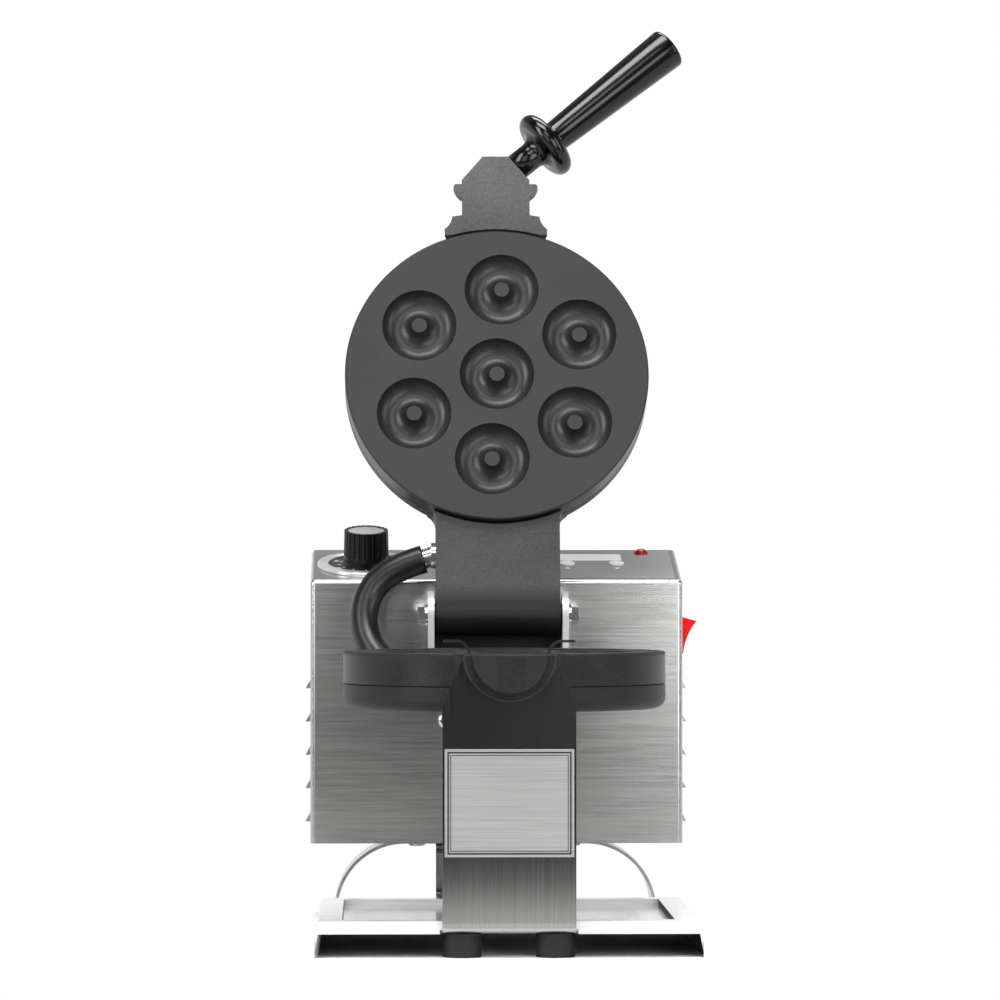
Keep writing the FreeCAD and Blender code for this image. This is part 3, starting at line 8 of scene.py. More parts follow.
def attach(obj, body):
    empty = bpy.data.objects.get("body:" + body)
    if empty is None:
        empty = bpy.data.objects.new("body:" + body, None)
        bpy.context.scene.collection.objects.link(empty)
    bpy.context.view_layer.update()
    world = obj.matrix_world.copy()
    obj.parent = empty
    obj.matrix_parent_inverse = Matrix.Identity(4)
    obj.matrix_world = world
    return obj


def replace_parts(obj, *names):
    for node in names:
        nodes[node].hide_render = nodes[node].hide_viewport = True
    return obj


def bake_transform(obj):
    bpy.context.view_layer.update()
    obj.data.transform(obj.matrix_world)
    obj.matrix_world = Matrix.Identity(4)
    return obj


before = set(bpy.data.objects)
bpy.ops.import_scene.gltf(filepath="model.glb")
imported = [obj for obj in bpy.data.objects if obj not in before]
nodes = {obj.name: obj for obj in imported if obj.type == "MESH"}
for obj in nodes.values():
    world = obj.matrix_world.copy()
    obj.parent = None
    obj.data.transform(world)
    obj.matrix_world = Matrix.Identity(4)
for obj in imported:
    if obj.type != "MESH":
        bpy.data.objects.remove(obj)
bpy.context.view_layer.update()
scene = bpy.context.scene

# The drawing measures in millimetres from the plates' centre, this far from the middle of the footprint
PLATES_CENTRE = Vector((3.85, 73.2, 0.0))
MM = 0.001

# Sizes of the drawing that the added pieces sit on, in millimetres
BOX_FRONT = 195.0
BOX_FRONT_TOP = 223.7
BOX_DEPTH = 86.0
PANEL_RISE = 20.0
OVERLAY_T = 0.5
DIAL_AT = (-86.0, 43.0)
DIAL_T = 1.0
STRIP_FRONT = -122.0
LABEL_T = 0.6
LABEL_HALF = 38.7
LABEL_LOW = 60.6
LABEL_HIGH = 125.1
PRINT_T = 0.08
LID_HINGE = (0.0, 160.0, 201.0)
LID_OPEN = math.radians(106.7)
AXIS_Z = 181.5
PLATE_FACE = 0.2


def place(x, y, z):
    return (Vector((x, y, z)) - PLATES_CENTRE) / 1000


# Turns the sloping panel's own flat coordinates into the frame
def panel_matrix():
    turn = Matrix.Rotation(math.atan2(PANEL_RISE, BOX_DEPTH), 4, "X")
    return Matrix.Translation(place(0, BOX_FRONT, BOX_FRONT_TOP)) @ turn @ Matrix.Scale(MM, 4)


# Places the lid's own coordinates, drawn shut, in the open rest pose
def lid_matrix():
    swing = Matrix.Translation(place(*LID_HINGE)) @ Matrix.Rotation(-LID_OPEN, 4, "X")
    back = Matrix.Translation(-place(*LID_HINGE))
    return swing @ back @ Matrix.Translation(place(0, 0, AXIS_Z)) @ Matrix.Scale(MM, 4)


# Camera: long lens, a little to the left, at the height of the lid's lower edge
EYE = place(-82.0, -3200.0, 247.0)
AIM = place(-2.65, 0.0, 275.0)
LENS_MM = 185.5
SENSOR_MM = 36.0

camera_data = bpy.data.cameras.new("camera")
camera_data.lens = LENS_MM
camera_data.sensor_width = SENSOR_MM
camera = bpy.data.objects.new("camera", camera_data)
camera.location = EYE
camera.rotation_euler = (AIM - EYE).to_track_quat("-Z", "Y").to_euler()
scene.collection.objects.link(camera)
scene.camera = camera
scene.view_settings.view_transform = "Standard"


# Materials


def tint(code):
    channels = []
    for start in (1, 3, 5):
        value = int(code[start:start + 2], 16) / 255
        channels.append(value / 12.92 if value <= 0.04045 else ((value + 0.055) / 1.055) ** 2.4)
    return (*channels, 1.0)


# Adds one node; settings are its properties or its sockets' values, links its incoming sockets
def add(tree, kind, settings=None, links=None):
    node = tree.nodes.new(kind)
    for name, value in (settings or {}).items():
        if isinstance(name, str) and hasattr(node, name):
            setattr(node, name, value)
        else:
            node.inputs[name].default_value = value
    for name, socket in (links or {}).items():
        tree.links.new(socket, node.inputs[name])
    return node


def new_finish(name, **values):
    material = bpy.data.materials.new(name)
    material.use_nodes = True
    tree = material.node_tree
    shader = tree.nodes["Principled BSDF"]
    for socket, value in values.items():
        shader.inputs[socket.replace("_", " ")].default_value = value
    where = add(tree, "ShaderNodeTexCoord")
    return material, tree, shader, where


# Noise keeps mostly between these two values
NOISE_LOW = 0.3
NOISE_HIGH = 0.7

# Brushed stainless sheet: fine scratches one way over slow cloudy changes of tone.
# The scratches are cells in a metre along X, Y and Z: 900 is one each 1.1 mm, coarse enough to show
GRAIN_SHARE = 0.75
GRAIN_TONE_LOW = 0.32
GRAIN_TONE_HIGH = 0.68
CLOUDS_PER_METRE = 9.0
SCRATCH_DEPTH = 0.00004


def brushed_steel(name, scratches, low, high, rough_low, rough_high, relief, **values):
    material, tree, shader, where = new_finish(name, **{"Metallic": 1.0, **values})
    along = add(tree, "ShaderNodeMapping", {"Scale": scratches}, {"Vector": where.outputs["Object"]})
    grain = add(
        tree, "ShaderNodeTexNoise", {"Scale": 1.0, "Detail": 4.0, "Roughness": 0.65},
        {"Vector": along.outputs["Vector"]},
    )
    cloud = add(
        tree, "ShaderNodeTexNoise", {"Scale": CLOUDS_PER_METRE, "Detail": 2.0},
        {"Vector": where.outputs["Object"]},
    )
    slow = add(
        tree, "ShaderNodeMath", {"operation": "MULTIPLY", 1: 1.0 - GRAIN_SHARE}, {0: cloud.outputs["Fac"]}
    )
    both = add(
        tree, "ShaderNodeMath", {"operation": "MULTIPLY_ADD", 1: GRAIN_SHARE},
        {0: grain.outputs["Fac"], 2: slow.outputs["Value"]},
    )
    tone = add(
        tree, "ShaderNodeMapRange", {"From Min": GRAIN_TONE_LOW, "From Max": GRAIN_TONE_HIGH},
        {"Value": both.outputs["Value"]},
    )
    colour = add(
        tree, "ShaderNodeMix", {"data_type": "RGBA", 6: tint(low), 7: tint(high)},
        {0: tone.outputs["Result"]},
    )
    rough = add(
        tree, "ShaderNodeMapRange",
        {"From Min": NOISE_LOW, "From Max": NOISE_HIGH, "To Min": rough_low, "To Max": rough_high},
        {"Value": grain.outputs["Fac"]},
    )
    bump = add(
        tree, "ShaderNodeBump", {"Strength": relief, "Distance": SCRATCH_DEPTH},
        {"Height": grain.outputs["Fac"]},
    )
    tree.links.new(colour.outputs[2], shader.inputs["Base Color"])
    tree.links.new(rough.outputs["Result"], shader.inputs["Roughness"])
    tree.links.new(bump.outputs["Normal"], shader.inputs["Normal"])
    return material


# Box and arch, brushed from side to side
steel_across = brushed_steel(
    "brushed_stainless_across", (22.0, 900.0, 900.0), "#bebebc", "#d2d2d0", 0.21, 0.24, 0.004
)
# Strip and cradle, brushed upright and a little shinier
steel_upright = brushed_steel(
    "brushed_stainless_upright", (1500.0, 1500.0, 14.0), "#aaaaa8", "#bebebc", 0.14, 0.17, 0.01
)
# Matt silver face of the label: most of it scatters, so it stays pale from every side
steel_label = brushed_steel(
    "brushed_label_aluminium", (14.0, 1500.0, 1500.0), "#8c8c8b", "#a2a2a1", 0.36, 0.46, 0.08, Metallic=0.2
)

# Polished stainless pressing: near-mirror with faint polishing streaks, given as cells in a metre;
# its folded inside, which faces down or to the middle, is duller and painted near black as painted shade
TRAY_STREAKS = (30.0, 700.0, 700.0)
TRAY_FACES_DOWN = -0.3
TRAY_FACES_IN = -0.08
TRAY_DULLER = 0.5


def polished_tray():
    material, tree, shader, where = new_finish("polished_stainless_tray", Metallic=0.45)
    along = add(tree, "ShaderNodeMapping", {"Scale": TRAY_STREAKS}, {"Vector": where.outputs["Object"]})
    streak = add(
        tree, "ShaderNodeTexNoise", {"Scale": 1.0, "Detail": 3.0}, {"Vector": along.outputs["Vector"]}
    )
    face = add(tree, "ShaderNodeSeparateXYZ", links={"Vector": where.outputs["Normal"]})
    spot = add(tree, "ShaderNodeSeparateXYZ", links={"Vector": where.outputs["Object"]})
    under = add(
        tree, "ShaderNodeMath", {"operation": "LESS_THAN", 1: TRAY_FACES_DOWN}, {0: face.outputs["Z"]}
    )
    inward = add(
        tree, "ShaderNodeMath", {"operation": "MULTIPLY"}, {0: face.outputs["X"], 1: spot.outputs["X"]}
    )
    inside = add(
        tree, "ShaderNodeMath", {"operation": "LESS_THAN", 1: TRAY_FACES_IN}, {0: inward.outputs["Value"]}
    )
    painted_shade_faces = add(
        tree, "ShaderNodeMath", {"operation": "MAXIMUM"},
        {0: under.outputs["Value"], 1: inside.outputs["Value"]},
    )
    tone = add(
        tree, "ShaderNodeMapRange", {"From Min": NOISE_LOW, "From Max": NOISE_HIGH},
        {"Value": streak.outputs["Fac"]},
    )
    bright = add(
        tree, "ShaderNodeMix", {"data_type": "RGBA", 6: tint("#e2e2e1"), 7: tint("#f2f2f1")},
        {0: tone.outputs["Result"]},
    )
    # Painted shade: faces that look down or inwards take the near-black colour
    colour = add(
        tree, "ShaderNodeMix", {"data_type": "RGBA", 7: tint("#141414")},
        {0: painted_shade_faces.outputs["Value"], 6: bright.outputs[2]},
    )
    rough = add(
        tree, "ShaderNodeMapRange",
        {"From Min": NOISE_LOW, "From Max": NOISE_HIGH, "To Min": 0.12, "To Max": 0.2},
        {"Value": streak.outputs["Fac"]},
    )
    dull = add(
        tree, "ShaderNodeMath", {"operation": "MULTIPLY_ADD", 1: TRAY_DULLER},
        {0: painted_shade_faces.outputs["Value"], 2: rough.outputs["Result"]},
    )
    tree.links.new(colour.outputs[2], shader.inputs["Base Color"])
    tree.links.new(dull.outputs["Value"], shader.inputs["Roughness"])
    return material


tray_steel = polished_tray()

# Fine surface grit in colour, roughness and relief, for coated, cast and moulded pieces.
# After the two tones come the size and the height of the grit in millimetres and the range of roughness
PATCHES_PER_METRE = 22.0
PATCH_SHARE = 0.35
GRIT_STRENGTH = 0.5


def gritty(name, low, high, grit_mm, relief_mm, rough_low, rough_high, **values):
    material, tree, shader, where = new_finish(name, **values)
    grit = add(
        tree, "ShaderNodeTexNoise", {"Scale": 1000.0 / grit_mm, "Detail": 3.0, "Roughness": 0.7},
        {"Vector": where.outputs["Object"]},
    )
    patch = add(
        tree, "ShaderNodeTexNoise", {"Scale": PATCHES_PER_METRE, "Detail": 3.0},
        {"Vector": where.outputs["Object"]},
    )
    both = add(
        tree, "ShaderNodeMix", {"data_type": "FLOAT", "Factor": PATCH_SHARE},
        {2: grit.outputs["Fac"], 3: patch.outputs["Fac"]},
    )
    tone = add(
        tree, "ShaderNodeMapRange", {"From Min": NOISE_LOW, "From Max": NOISE_HIGH},
        {"Value": both.outputs[0]},
    )
    colour = add(
        tree, "ShaderNodeMix", {"data_type": "RGBA", 6: tint(low), 7: tint(high)},
        {0: tone.outputs["Result"]},
    )
    rough = add(
        tree, "ShaderNodeMapRange",
        {"From Min": NOISE_LOW, "From Max": NOISE_HIGH, "To Min": rough_low, "To Max": rough_high},
        {"Value": both.outputs[0]},
    )
    bump = add(
        tree, "ShaderNodeBump", {"Strength": GRIT_STRENGTH, "Distance": relief_mm / 1000},
        {"Height": grit.outputs["Fac"]},
    )
    tree.links.new(colour.outputs[2], shader.inputs["Base Color"])
    tree.links.new(rough.outputs["Result"], shader.inputs["Roughness"])
    tree.links.new(bump.outputs["Normal"], shader.inputs["Normal"])
    return material


# Non-stick coat sprayed on cast aluminium: charcoal with fine pale speckle, matt on the flat face and
# rubbed to a satin in the cavities, which lie deeper than the face by these depths in metres
WORN_FROM = 0.0003
WORN_FULL = 0.003
WORN_SHARE = 0.62


def plate_coat(name, inward, face, shine):
    material = gritty(name, "#131313", "#2a2a2a", 1.5, 0.06, 0.5, 0.62, Specular_IOR_Level=shine)
    tree = material.node_tree
    shader = tree.nodes["Principled BSDF"]
    grit = shader.inputs["Roughness"].links[0].from_socket
    where = add(tree, "ShaderNodeTexCoord")
    depth = add(
        tree, "ShaderNodeVectorMath", {"operation": "DOT_PRODUCT", 1: inward}, {0: where.outputs["Object"]}
    )
    level = face.dot(inward)
    worn = add(
        tree, "ShaderNodeMapRange",
        {"From Min": level + WORN_FROM, "From Max": level + WORN_FULL, "To Min": 1.0, "To Max": WORN_SHARE},
        {"Value": depth.outputs["Value"]},
    )
    rough = add(
        tree, "ShaderNodeMath", {"operation": "MULTIPLY"}, {0: grit, 1: worn.outputs["Result"]}
    )
    tree.links.new(rough.outputs["Value"], shader.inputs["Roughness"])
    return material


lid_inward = lid_matrix().to_3x3().normalized() @ Vector((0, 0, 1))
lid_face = lid_matrix() @ Vector((0, 0, PLATE_FACE))
nonstick_lid = plate_coat("nonstick_lid_coat", lid_inward, lid_face, 0.5)
low_face = place(0, 0, AXIS_Z - PLATE_FACE)
nonstick_low = plate_coat("nonstick_lower_coat", Vector((0, 0, -1)), low_face, 0.22)
# The same coat over the rougher sand-cast covers and arms, here in a darker copy than the lid's that paints
# shade on the lower casting
cast_coat_painted_shade = gritty("sandcast_coat_painted_shade", "#121212", "#282828", 1.5, 0.14, 0.38, 0.54, Specular_IOR_Level=0.22)

# On the lid the coat is a lighter copy, with painted light that makes it paler at the collar and painted
# shade that makes it near black at the hinge
# barrel: heights in metres, and the share of the tone there
COLLAR_FROM = 0.43
COLLAR_FULL = 0.49
COLLAR_PAINTED_LIGHT = 1.7
BARREL_FULL = 0.21
BARREL_FROM = 0.222
BARREL_PAINTED_SHADE = 0.08


def lid_coat_painted_light_and_shade():
    material = gritty(
        "sandcast_lid_coat_painted_light_and_shade", "#262626", "#464646", 1.5, 0.14, 0.38, 0.54, Specular_IOR_Level=0.35
    )
    tree = material.node_tree
    shader = tree.nodes["Principled BSDF"]
    coat = shader.inputs["Base Color"].links[0].from_socket
    where = add(tree, "ShaderNodeTexCoord")
    spot = add(tree, "ShaderNodeSeparateXYZ", links={"Vector": where.outputs["Object"]})
    # Painted light: paler towards the collar
    collar = add(
        tree, "ShaderNodeMapRange",
        {"From Min": COLLAR_FROM, "From Max": COLLAR_FULL, "To Min": 1.0, "To Max": COLLAR_PAINTED_LIGHT},
        {"Value": spot.outputs["Z"]},
    )
    # Painted shade: near black down at the hinge barrel
    barrel = add(
        tree, "ShaderNodeMapRange",
        {"From Min": BARREL_FULL, "From Max": BARREL_FROM, "To Min": BARREL_PAINTED_SHADE, "To Max": 1.0},
        {"Value": spot.outputs["Z"]},
    )
    share = add(
        tree, "ShaderNodeMath", {"operation": "MULTIPLY"},
        {0: collar.outputs["Result"], 1: barrel.outputs["Result"]},
    )
    painted_light_and_shade_coat = add(
        tree, "ShaderNodeVectorMath", {"operation": "SCALE"}, {0: coat, "Scale": share.outputs["Value"]}
    )
    tree.links.new(painted_light_and_shade_coat.outputs["Vector"], shader.inputs["Base Color"])
    return material


lid_cast_painted_light_and_shade = lid_coat_painted_light_and_shade()
# Phenolic handle, deep glossy black
phenolic = gritty("phenolic_gloss", "#060606", "#0a0a0a", 6.0, 0.0001, 0.16, 0.18, IOR=1.5)
# The fluted knob, the same moulding worn to a satin
knob_black = gritty("knob_phenolic", "#050505", "#0c0c0c", 1.0, 0.01, 0.26, 0.34, Specular_IOR_Level=0.3)
# Moulded black rubber feet, dull
rubber = gritty("foot_rubber", "#060606", "#0e0e0e", 1.2, 0.06, 0.58, 0.72)
# Smooth black silicone hose with a soft sheen
hose_black = gritty("hose_silicone", "#0b0b0b", "#131313", 3.0, 0.006, 0.3, 0.36, IOR=1.5)
# Black nylon switch and gland bodies, lightly grained
nylon_black = gritty("nylon_black", "#161616", "#222222", 0.9, 0.03, 0.4, 0.55)
# Printed polyester overlay, grey and matt with a fine embossed texture
overlay_grey = gritty("overlay_polyester", "#7a7a7a", "#8a8a8a", 0.9, 0.01, 0.55, 0.66)
# Milky display window and button caps, smooth and near white
milky = gritty("milky_acrylic", "#eeeeec", "#f4f4f2", 4.0, 0.001, 0.3, 0.36)
# Bright red polycarbonate rocker with little shine
rocker_red = gritty(
    "rocker_polycarbonate", "#e00000", "#ee0202", 2.0, 0.005, 0.24, 0.32, Specular_IOR_Level=0.2
)
# Dark red polycarbonate lamp, unlit
lamp_red = gritty("lamp_polycarbonate", "#7c0404", "#a80a0a", 2.0, 0.004, 0.24, 0.3)
# Printed dial: black anodised face
dial_black = gritty("dial_anodised", "#101010", "#1c1c1c", 0.8, 0.01, 0.35, 0.5)
# Screen-printed marks, matt
print_white = gritty("print_white", "#e2e2e0", "#f0f0ee", 0.6, 0.005, 0.5, 0.6)
print_black = gritty("print_black", "#0c0c0c", "#161616", 0.6, 0.005, 0.45, 0.55)
# Zinc plating on the ears and the dial: pale, with a soft spangle that scatters some of the light
zinc = gritty("zinc_plate", "#c2c2c2", "#dadada", 2.5, 0.002, 0.2, 0.28, Metallic=0.45)
# Brighter zinc on bolts and glands, nearly a mirror
bolt_zinc = gritty("bolt_zinc_plate", "#b4b4b4", "#cccccc", 2.5, 0.002, 0.1, 0.18, Metallic=0.85)
# Chrome plating on screws
chrome = gritty("chrome_plate", "#cfcfd0", "#e2e2e4", 8.0, 0.004, 0.07, 0.15, Metallic=1.0)
# Turned steel of stud, axle and shaft
turned_steel = gritty("turned_steel", "#bcbcba", "#d2d2d0", 0.7, 0.01, 0.2, 0.32, Metallic=1.0)
# Oiled sintered bronze bushes, nearly black
bronze = gritty("sintered_bronze", "#2a2622", "#3c362e", 0.8, 0.02, 0.36, 0.5, Metallic=1.0)
# Heater sheaths, steel tarnished by heat
heater_steel = gritty("heater_sheath", "#5c564e", "#7c746a", 1.5, 0.03, 0.4, 0.6, Metallic=1.0)
# Ceramic wool pads, off-white and fluffy
wool = gritty("ceramic_wool", "#c9c2b2", "#e4dfd2", 1.2, 0.3, 0.85, 0.95)
# Glass-fibre board of the timer, green under its lacquer
board_green = gritty("board_laminate", "#1e4a2c", "#2b6a3e", 2.0, 0.02, 0.4, 0.55)
# Natural nylon washer and terminal block, waxy white
nylon_pale = gritty("nylon_natural", "#cfccc2", "#e2dfd6", 1.0, 0.03, 0.4, 0.55)

FINISHES = {
    steel_across: ("box_shell", "box_bottom", "box_back", "arch_stand"),
    steel_upright: ("stand_strip", "cradle_saddle"),
    steel_label: ("label_plate",),
    tray_steel: ("drip_tray",),
    nonstick_lid: ("upper_plate",),
    nonstick_low: ("lower_plate",),
    lid_cast_painted_light_and_shade: ("upper_cover",),
    cast_coat_painted_shade: ("lower_cover", "bearing_housing"),
    phenolic: ("handle_grip",),
    knob_black: ("knob",),
    rubber: ("front_feet", "rear_feet"),
    hose_black: ("hose",),
    nylon_black: ("cable_gland", "rocker_housing", "thermostat"),
    overlay_grey: ("panel_overlay",),
    milky: ("display_window", "button_up", "button_down"),
    rocker_red: ("rocker_cap",),
    lamp_red: ("indicator_lens",),
    dial_black: ("dial_plate",),
    zinc: ("hinge_ears", "knob_cap"),
    bolt_zinc: ("stand_bolts", "ear_screws", "hinge_bolts", "upper_gland", "lower_gland"),
    chrome: ("back_screws", "bearing_screws", "lower_plate_screws", "upper_plate_screws"),
    turned_steel: ("axle", "axle_ring", "handle_stud", "thermostat_shaft", "dial_bezel"),
    bronze: ("bearing_bush", "hinge_bushes"),
    heater_steel: ("lower_heater", "upper_heater"),
    wool: ("lower_insulation", "upper_insulation"),
    board_green: ("timer_board",),
    nylon_pale: ("thrust_washer", "terminal_block"),
}
for finish, names in FINISHES.items():
    for name in names:
        nodes[name].data.materials.clear()
        nodes[name].data.materials.append(finish)


# Added pieces


def new_piece(name, bm, material, body):
    mesh = bpy.data.meshes.new(name)
    bmesh.ops.recalc_face_normals(bm, faces=bm.faces)
    bm.to_mesh(mesh)
    bm.free()
    mesh.materials.append(material)
    piece = bpy.data.objects.new(name, mesh)
    scene.collection.objects.link(piece)
    if body:
        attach(piece, body)
    return piece


# Flat printed face given the print's thickness
def thicken(bm):
    made = bmesh.ops.extrude_face_region(bm, geom=list(bm.faces))
    risen = [v for v in made["geom"] if isinstance(v, bmesh.types.BMVert)]
    bmesh.ops.translate(bm, verts=risen, vec=(0, 0, PRINT_T))


# Hose: the drawing's route as one smooth spline, with a tube along it
HOSE_ROUTE = (
    (-48.19, 171.62, 237.8),
    (-72.0, 172.0, 231.0),
    (-88.0, 168.0, 210.0),
    (-86.0, 154.0, 183.0),
    (-68.0, 136.0, 165.0),
    (-48.89, 127.28, 161.73),
)
HOSE_R = 9.25
HOSE_BORE_R = 7.0
HOSE_SIDES = 40
HOSE_STEPS = 24


def hose_line():
    data = bpy.data.curves.new("hose_line", "CURVE")
    data.dimensions = "3D"
    data.resolution_u = HOSE_STEPS
    spline = data.splines.new("NURBS")
    spline.points.add(len(HOSE_ROUTE) - 1)
    for point, spot in zip(spline.points, HOSE_ROUTE):
        point.co = (*place(*spot), 1.0)
    spline.order_u = 3
    spline.use_endpoint_u = True
    line = bpy.data.objects.new("hose_line", data)
    points = [v.co.copy() for v in bpy.data.meshes.new_from_object(line).vertices]
    bpy.data.objects.remove(line)
    return points


def hose_tube(points):
    bm = bmesh.new()
    rings = []
    side = Vector((0, 1, 0))
    for index, point in enumerate(points):
        ahead = points[min(index + 1, len(points) - 1)]
        behind = points[max(index - 1, 0)]
        way = (ahead - behind).normalized()
        side = (side - way * side.dot(way)).normalized()
        turn = Matrix((side, way.cross(side), way)).transposed().to_4x4()
        ring = bmesh.ops.create_circle(
            bm, segments=HOSE_SIDES, radius=HOSE_R / 1000, matrix=Matrix.Translation(point) @ turn
        )["verts"]
        rings.append(list({e for v in ring for e in v.link_edges}))
    for first, second in zip(rings, rings[1:]):
        bmesh.ops.bridge_loops(bm, edges=first + second)
    bmesh.ops.recalc_face_normals(bm, faces=bm.faces)
    bmesh.ops.solidify(bm, geom=list(bm.faces), thickness=(HOSE_R - HOSE_BORE_R) / 1000)
    for face in bm.faces:
        face.smooth = True
    return bm


hose_points = hose_line()
hose = new_piece("hose_smooth", hose_tube(hose_points), hose_black, None)
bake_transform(hose)
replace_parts(hose, "hose")

TURNING_STEPS = 160
ROUND_STEPS = 10
WELD_MM = 0.001


# Sweeps a profile about its Z axis: straight steps to a point, and rounds about a point by an angle
def turned(start, steps):
    bm = bmesh.new()
    last = bm.verts.new((start[0], 0.0, start[1]))
    for kind, x, z, *turn in steps:
        if kind == "to":
            last = bmesh.ops.extrude_vert_indiv(bm, verts=[last])["verts"][0]
            last.co = (x, 0.0, z)
        else:
            made = bmesh.ops.spin(
                bm, geom=[last], cent=(x, 0, z), axis=(0, 1, 0), angle=turn[0], steps=ROUND_STEPS
            )
            last = made["geom_last"][0]
    bmesh.ops.spin(
        bm, geom=bm.verts[:] + bm.edges[:], cent=(0, 0, 0), axis=(0, 0, 1), angle=2 * math.pi,
        steps=TURNING_STEPS, use_merge=True,
    )
    bmesh.ops.remove_doubles(bm, verts=bm.verts, dist=WELD_MM)
    for face in bm.faces:
        face.smooth = True
    return bm


# Handle turned in one smooth sweep, with its flange and rounded end
HANDLE_SEAT = Vector((12.98, -147.256, 9.6))
HANDLE_WAY = Vector((16.7, -14.0, 0.0))
FERRULE_R = 9.25
FERRULE_LENGTH = 21.0
FLANGE_R = 23.5
FLANGE_T = 12.0
FLANGE_BLEND = 7.0
GRIP_ROOT_R = 10.5
GRIP_ROOT_BLEND = 3.0
GRIP_END_R = 14.1
GRIP_LENGTH = 104.4
GRIP_END_BLEND = 3.0
GRIP_END_TURN = math.pi * 0.42
GRIP_DOME = 1.2
GRIP_STEPS = 12


def handle():
    flange_low = FERRULE_LENGTH
    flange_high = FERRULE_LENGTH + FLANGE_T
    grip_end = flange_high + GRIP_LENGTH
    rim = FLANGE_R - FLANGE_T / 2
    grip_low = flange_high + GRIP_ROOT_BLEND
    grip_high = grip_end - GRIP_END_BLEND
    taper = []
    for step in range(1, GRIP_STEPS + 1):
        share = step / GRIP_STEPS
        across = GRIP_ROOT_R + (GRIP_END_R - GRIP_ROOT_R) * share
        taper.append(("to", across, grip_low + (grip_high - grip_low) * share))
    bm = turned((0.0, 0.0), (
        ("to", FERRULE_R, 0.0),
        ("to", FERRULE_R, flange_low - FLANGE_BLEND),
        ("round", FERRULE_R + FLANGE_BLEND, flange_low - FLANGE_BLEND, math.pi / 2),
        ("to", rim, flange_low),
        ("round", rim, flange_low + FLANGE_T / 2, -math.pi),
        ("to", GRIP_ROOT_R + GRIP_ROOT_BLEND, flange_high),
        ("round", GRIP_ROOT_R + GRIP_ROOT_BLEND, grip_low, math.pi / 2),
        *taper,
        ("round", GRIP_END_R - GRIP_END_BLEND, grip_high, -GRIP_END_TURN),
        ("to", 0.0, grip_end + GRIP_DOME),
    ))
    turn = HANDLE_WAY.to_track_quat("Z", "Y").to_matrix().to_4x4()
    bmesh.ops.transform(bm, matrix=lid_matrix() @ Matrix.Translation(HANDLE_SEAT) @ turn, verts=bm.verts)
    return new_piece("handle_turned", bm, phenolic, "lid")


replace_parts(handle(), "handle_grip")

# Dial ring rolled over at its outer edge, with a small lip inside
BEZEL_R = 32.6
BEZEL_IN = 25.2
BEZEL_H = 2.4
BEZEL_ROLL = 1.4
BEZEL_LIP_H = 0.6
BEZEL_LIP_W = 0.4


def bezel():
    bm = turned((BEZEL_IN, 0.0), (
        ("to", BEZEL_IN, BEZEL_H - BEZEL_LIP_H),
        ("to", BEZEL_IN + BEZEL_LIP_W, BEZEL_H),
        ("to", BEZEL_R - BEZEL_ROLL, BEZEL_H),
        ("round", BEZEL_R - BEZEL_ROLL, BEZEL_H - BEZEL_ROLL, math.pi / 2),
        ("to", BEZEL_R, 0.0),
        ("to", BEZEL_IN, 0.0),
    ))
    lift = Matrix.Translation((*DIAL_AT, 0.0))
    bmesh.ops.transform(bm, matrix=panel_matrix() @ lift, verts=bm.verts)
    return new_piece("dial_ring", bm, zinc, "base")


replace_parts(bezel(), "dial_bezel")

# Two border lines on the bare label plate: name, inset and width
LABEL_BORDERS = (
    ("label_border_outer", 1.6, 0.9),
    ("label_border_inner", 3.4, 0.45),
)
CENTRED = 0.01


def label_border(name, inset, width):
    bm = bmesh.new()
    half_x = LABEL_HALF - inset
    half_z = (LABEL_HIGH - LABEL_LOW) / 2 - inset
    bmesh.ops.create_grid(bm, x_segments=1, y_segments=1, size=1.0)
    bmesh.ops.scale(bm, vec=(half_x, half_z, 1.0), verts=bm.verts)
    bmesh.ops.inset_region(
        bm, faces=list(bm.faces), thickness=width, use_boundary=True, use_even_offset=True
    )
    middle = [f for f in bm.faces if f.calc_center_median().length < CENTRED]
    bmesh.ops.delete(bm, geom=middle, context="FACES")
    thicken(bm)
    middle_z = (LABEL_HIGH + LABEL_LOW) / 2
    stand = Matrix.Rotation(math.radians(90), 4, "X")
    lift = Matrix.Translation(place(0, STRIP_FRONT - LABEL_T, middle_z))
    bmesh.ops.transform(bm, matrix=lift @ Matrix.Scale(MM, 4) @ stand, verts=bm.verts)
    new_piece(name, bm, print_black, "base")


for border in LABEL_BORDERS:
    label_border(*border)

# Small triangles in front of the two buttons, one up and one down: name, place across and turn
BUTTON_MARKS = (
    ("mark_up", 48.0, 0.0),
    ("mark_down", 81.0, math.pi),
)
MARK_UP_PANEL = 33.0
MARK_R = 2.6


def button_mark(name, x, turn):
    bm = bmesh.new()
    bmesh.ops.create_circle(bm, cap_ends=True, segments=3, radius=MARK_R)
    thicken(bm)
    spin = Matrix.Rotation(turn, 4, "Z")
    lift = Matrix.Translation((x, MARK_UP_PANEL, OVERLAY_T))
    bmesh.ops.transform(bm, matrix=panel_matrix() @ lift @ spin, verts=bm.verts)
    new_piece(name, bm, print_white, "base")


for mark in BUTTON_MARKS:
    button_mark(*mark)

# Dial ticks, and plain numbers at every second tick
DIAL_TICKS = 11
DIAL_SWEEP = math.radians(280.0)
TICK_RING = 18.0
TICK_LENGTH = 2.4
TICK_WIDTH = 0.6
NUMBER_EVERY = 2
NUMBER_STEP = 30
NUMBER_RING = 21.6
NUMBER_SIZE = 3.6


# The scale starts at the front and runs clockwise
def dial_turn(index):
    return math.pi * 1.5 - DIAL_SWEEP * index / (DIAL_TICKS - 1)


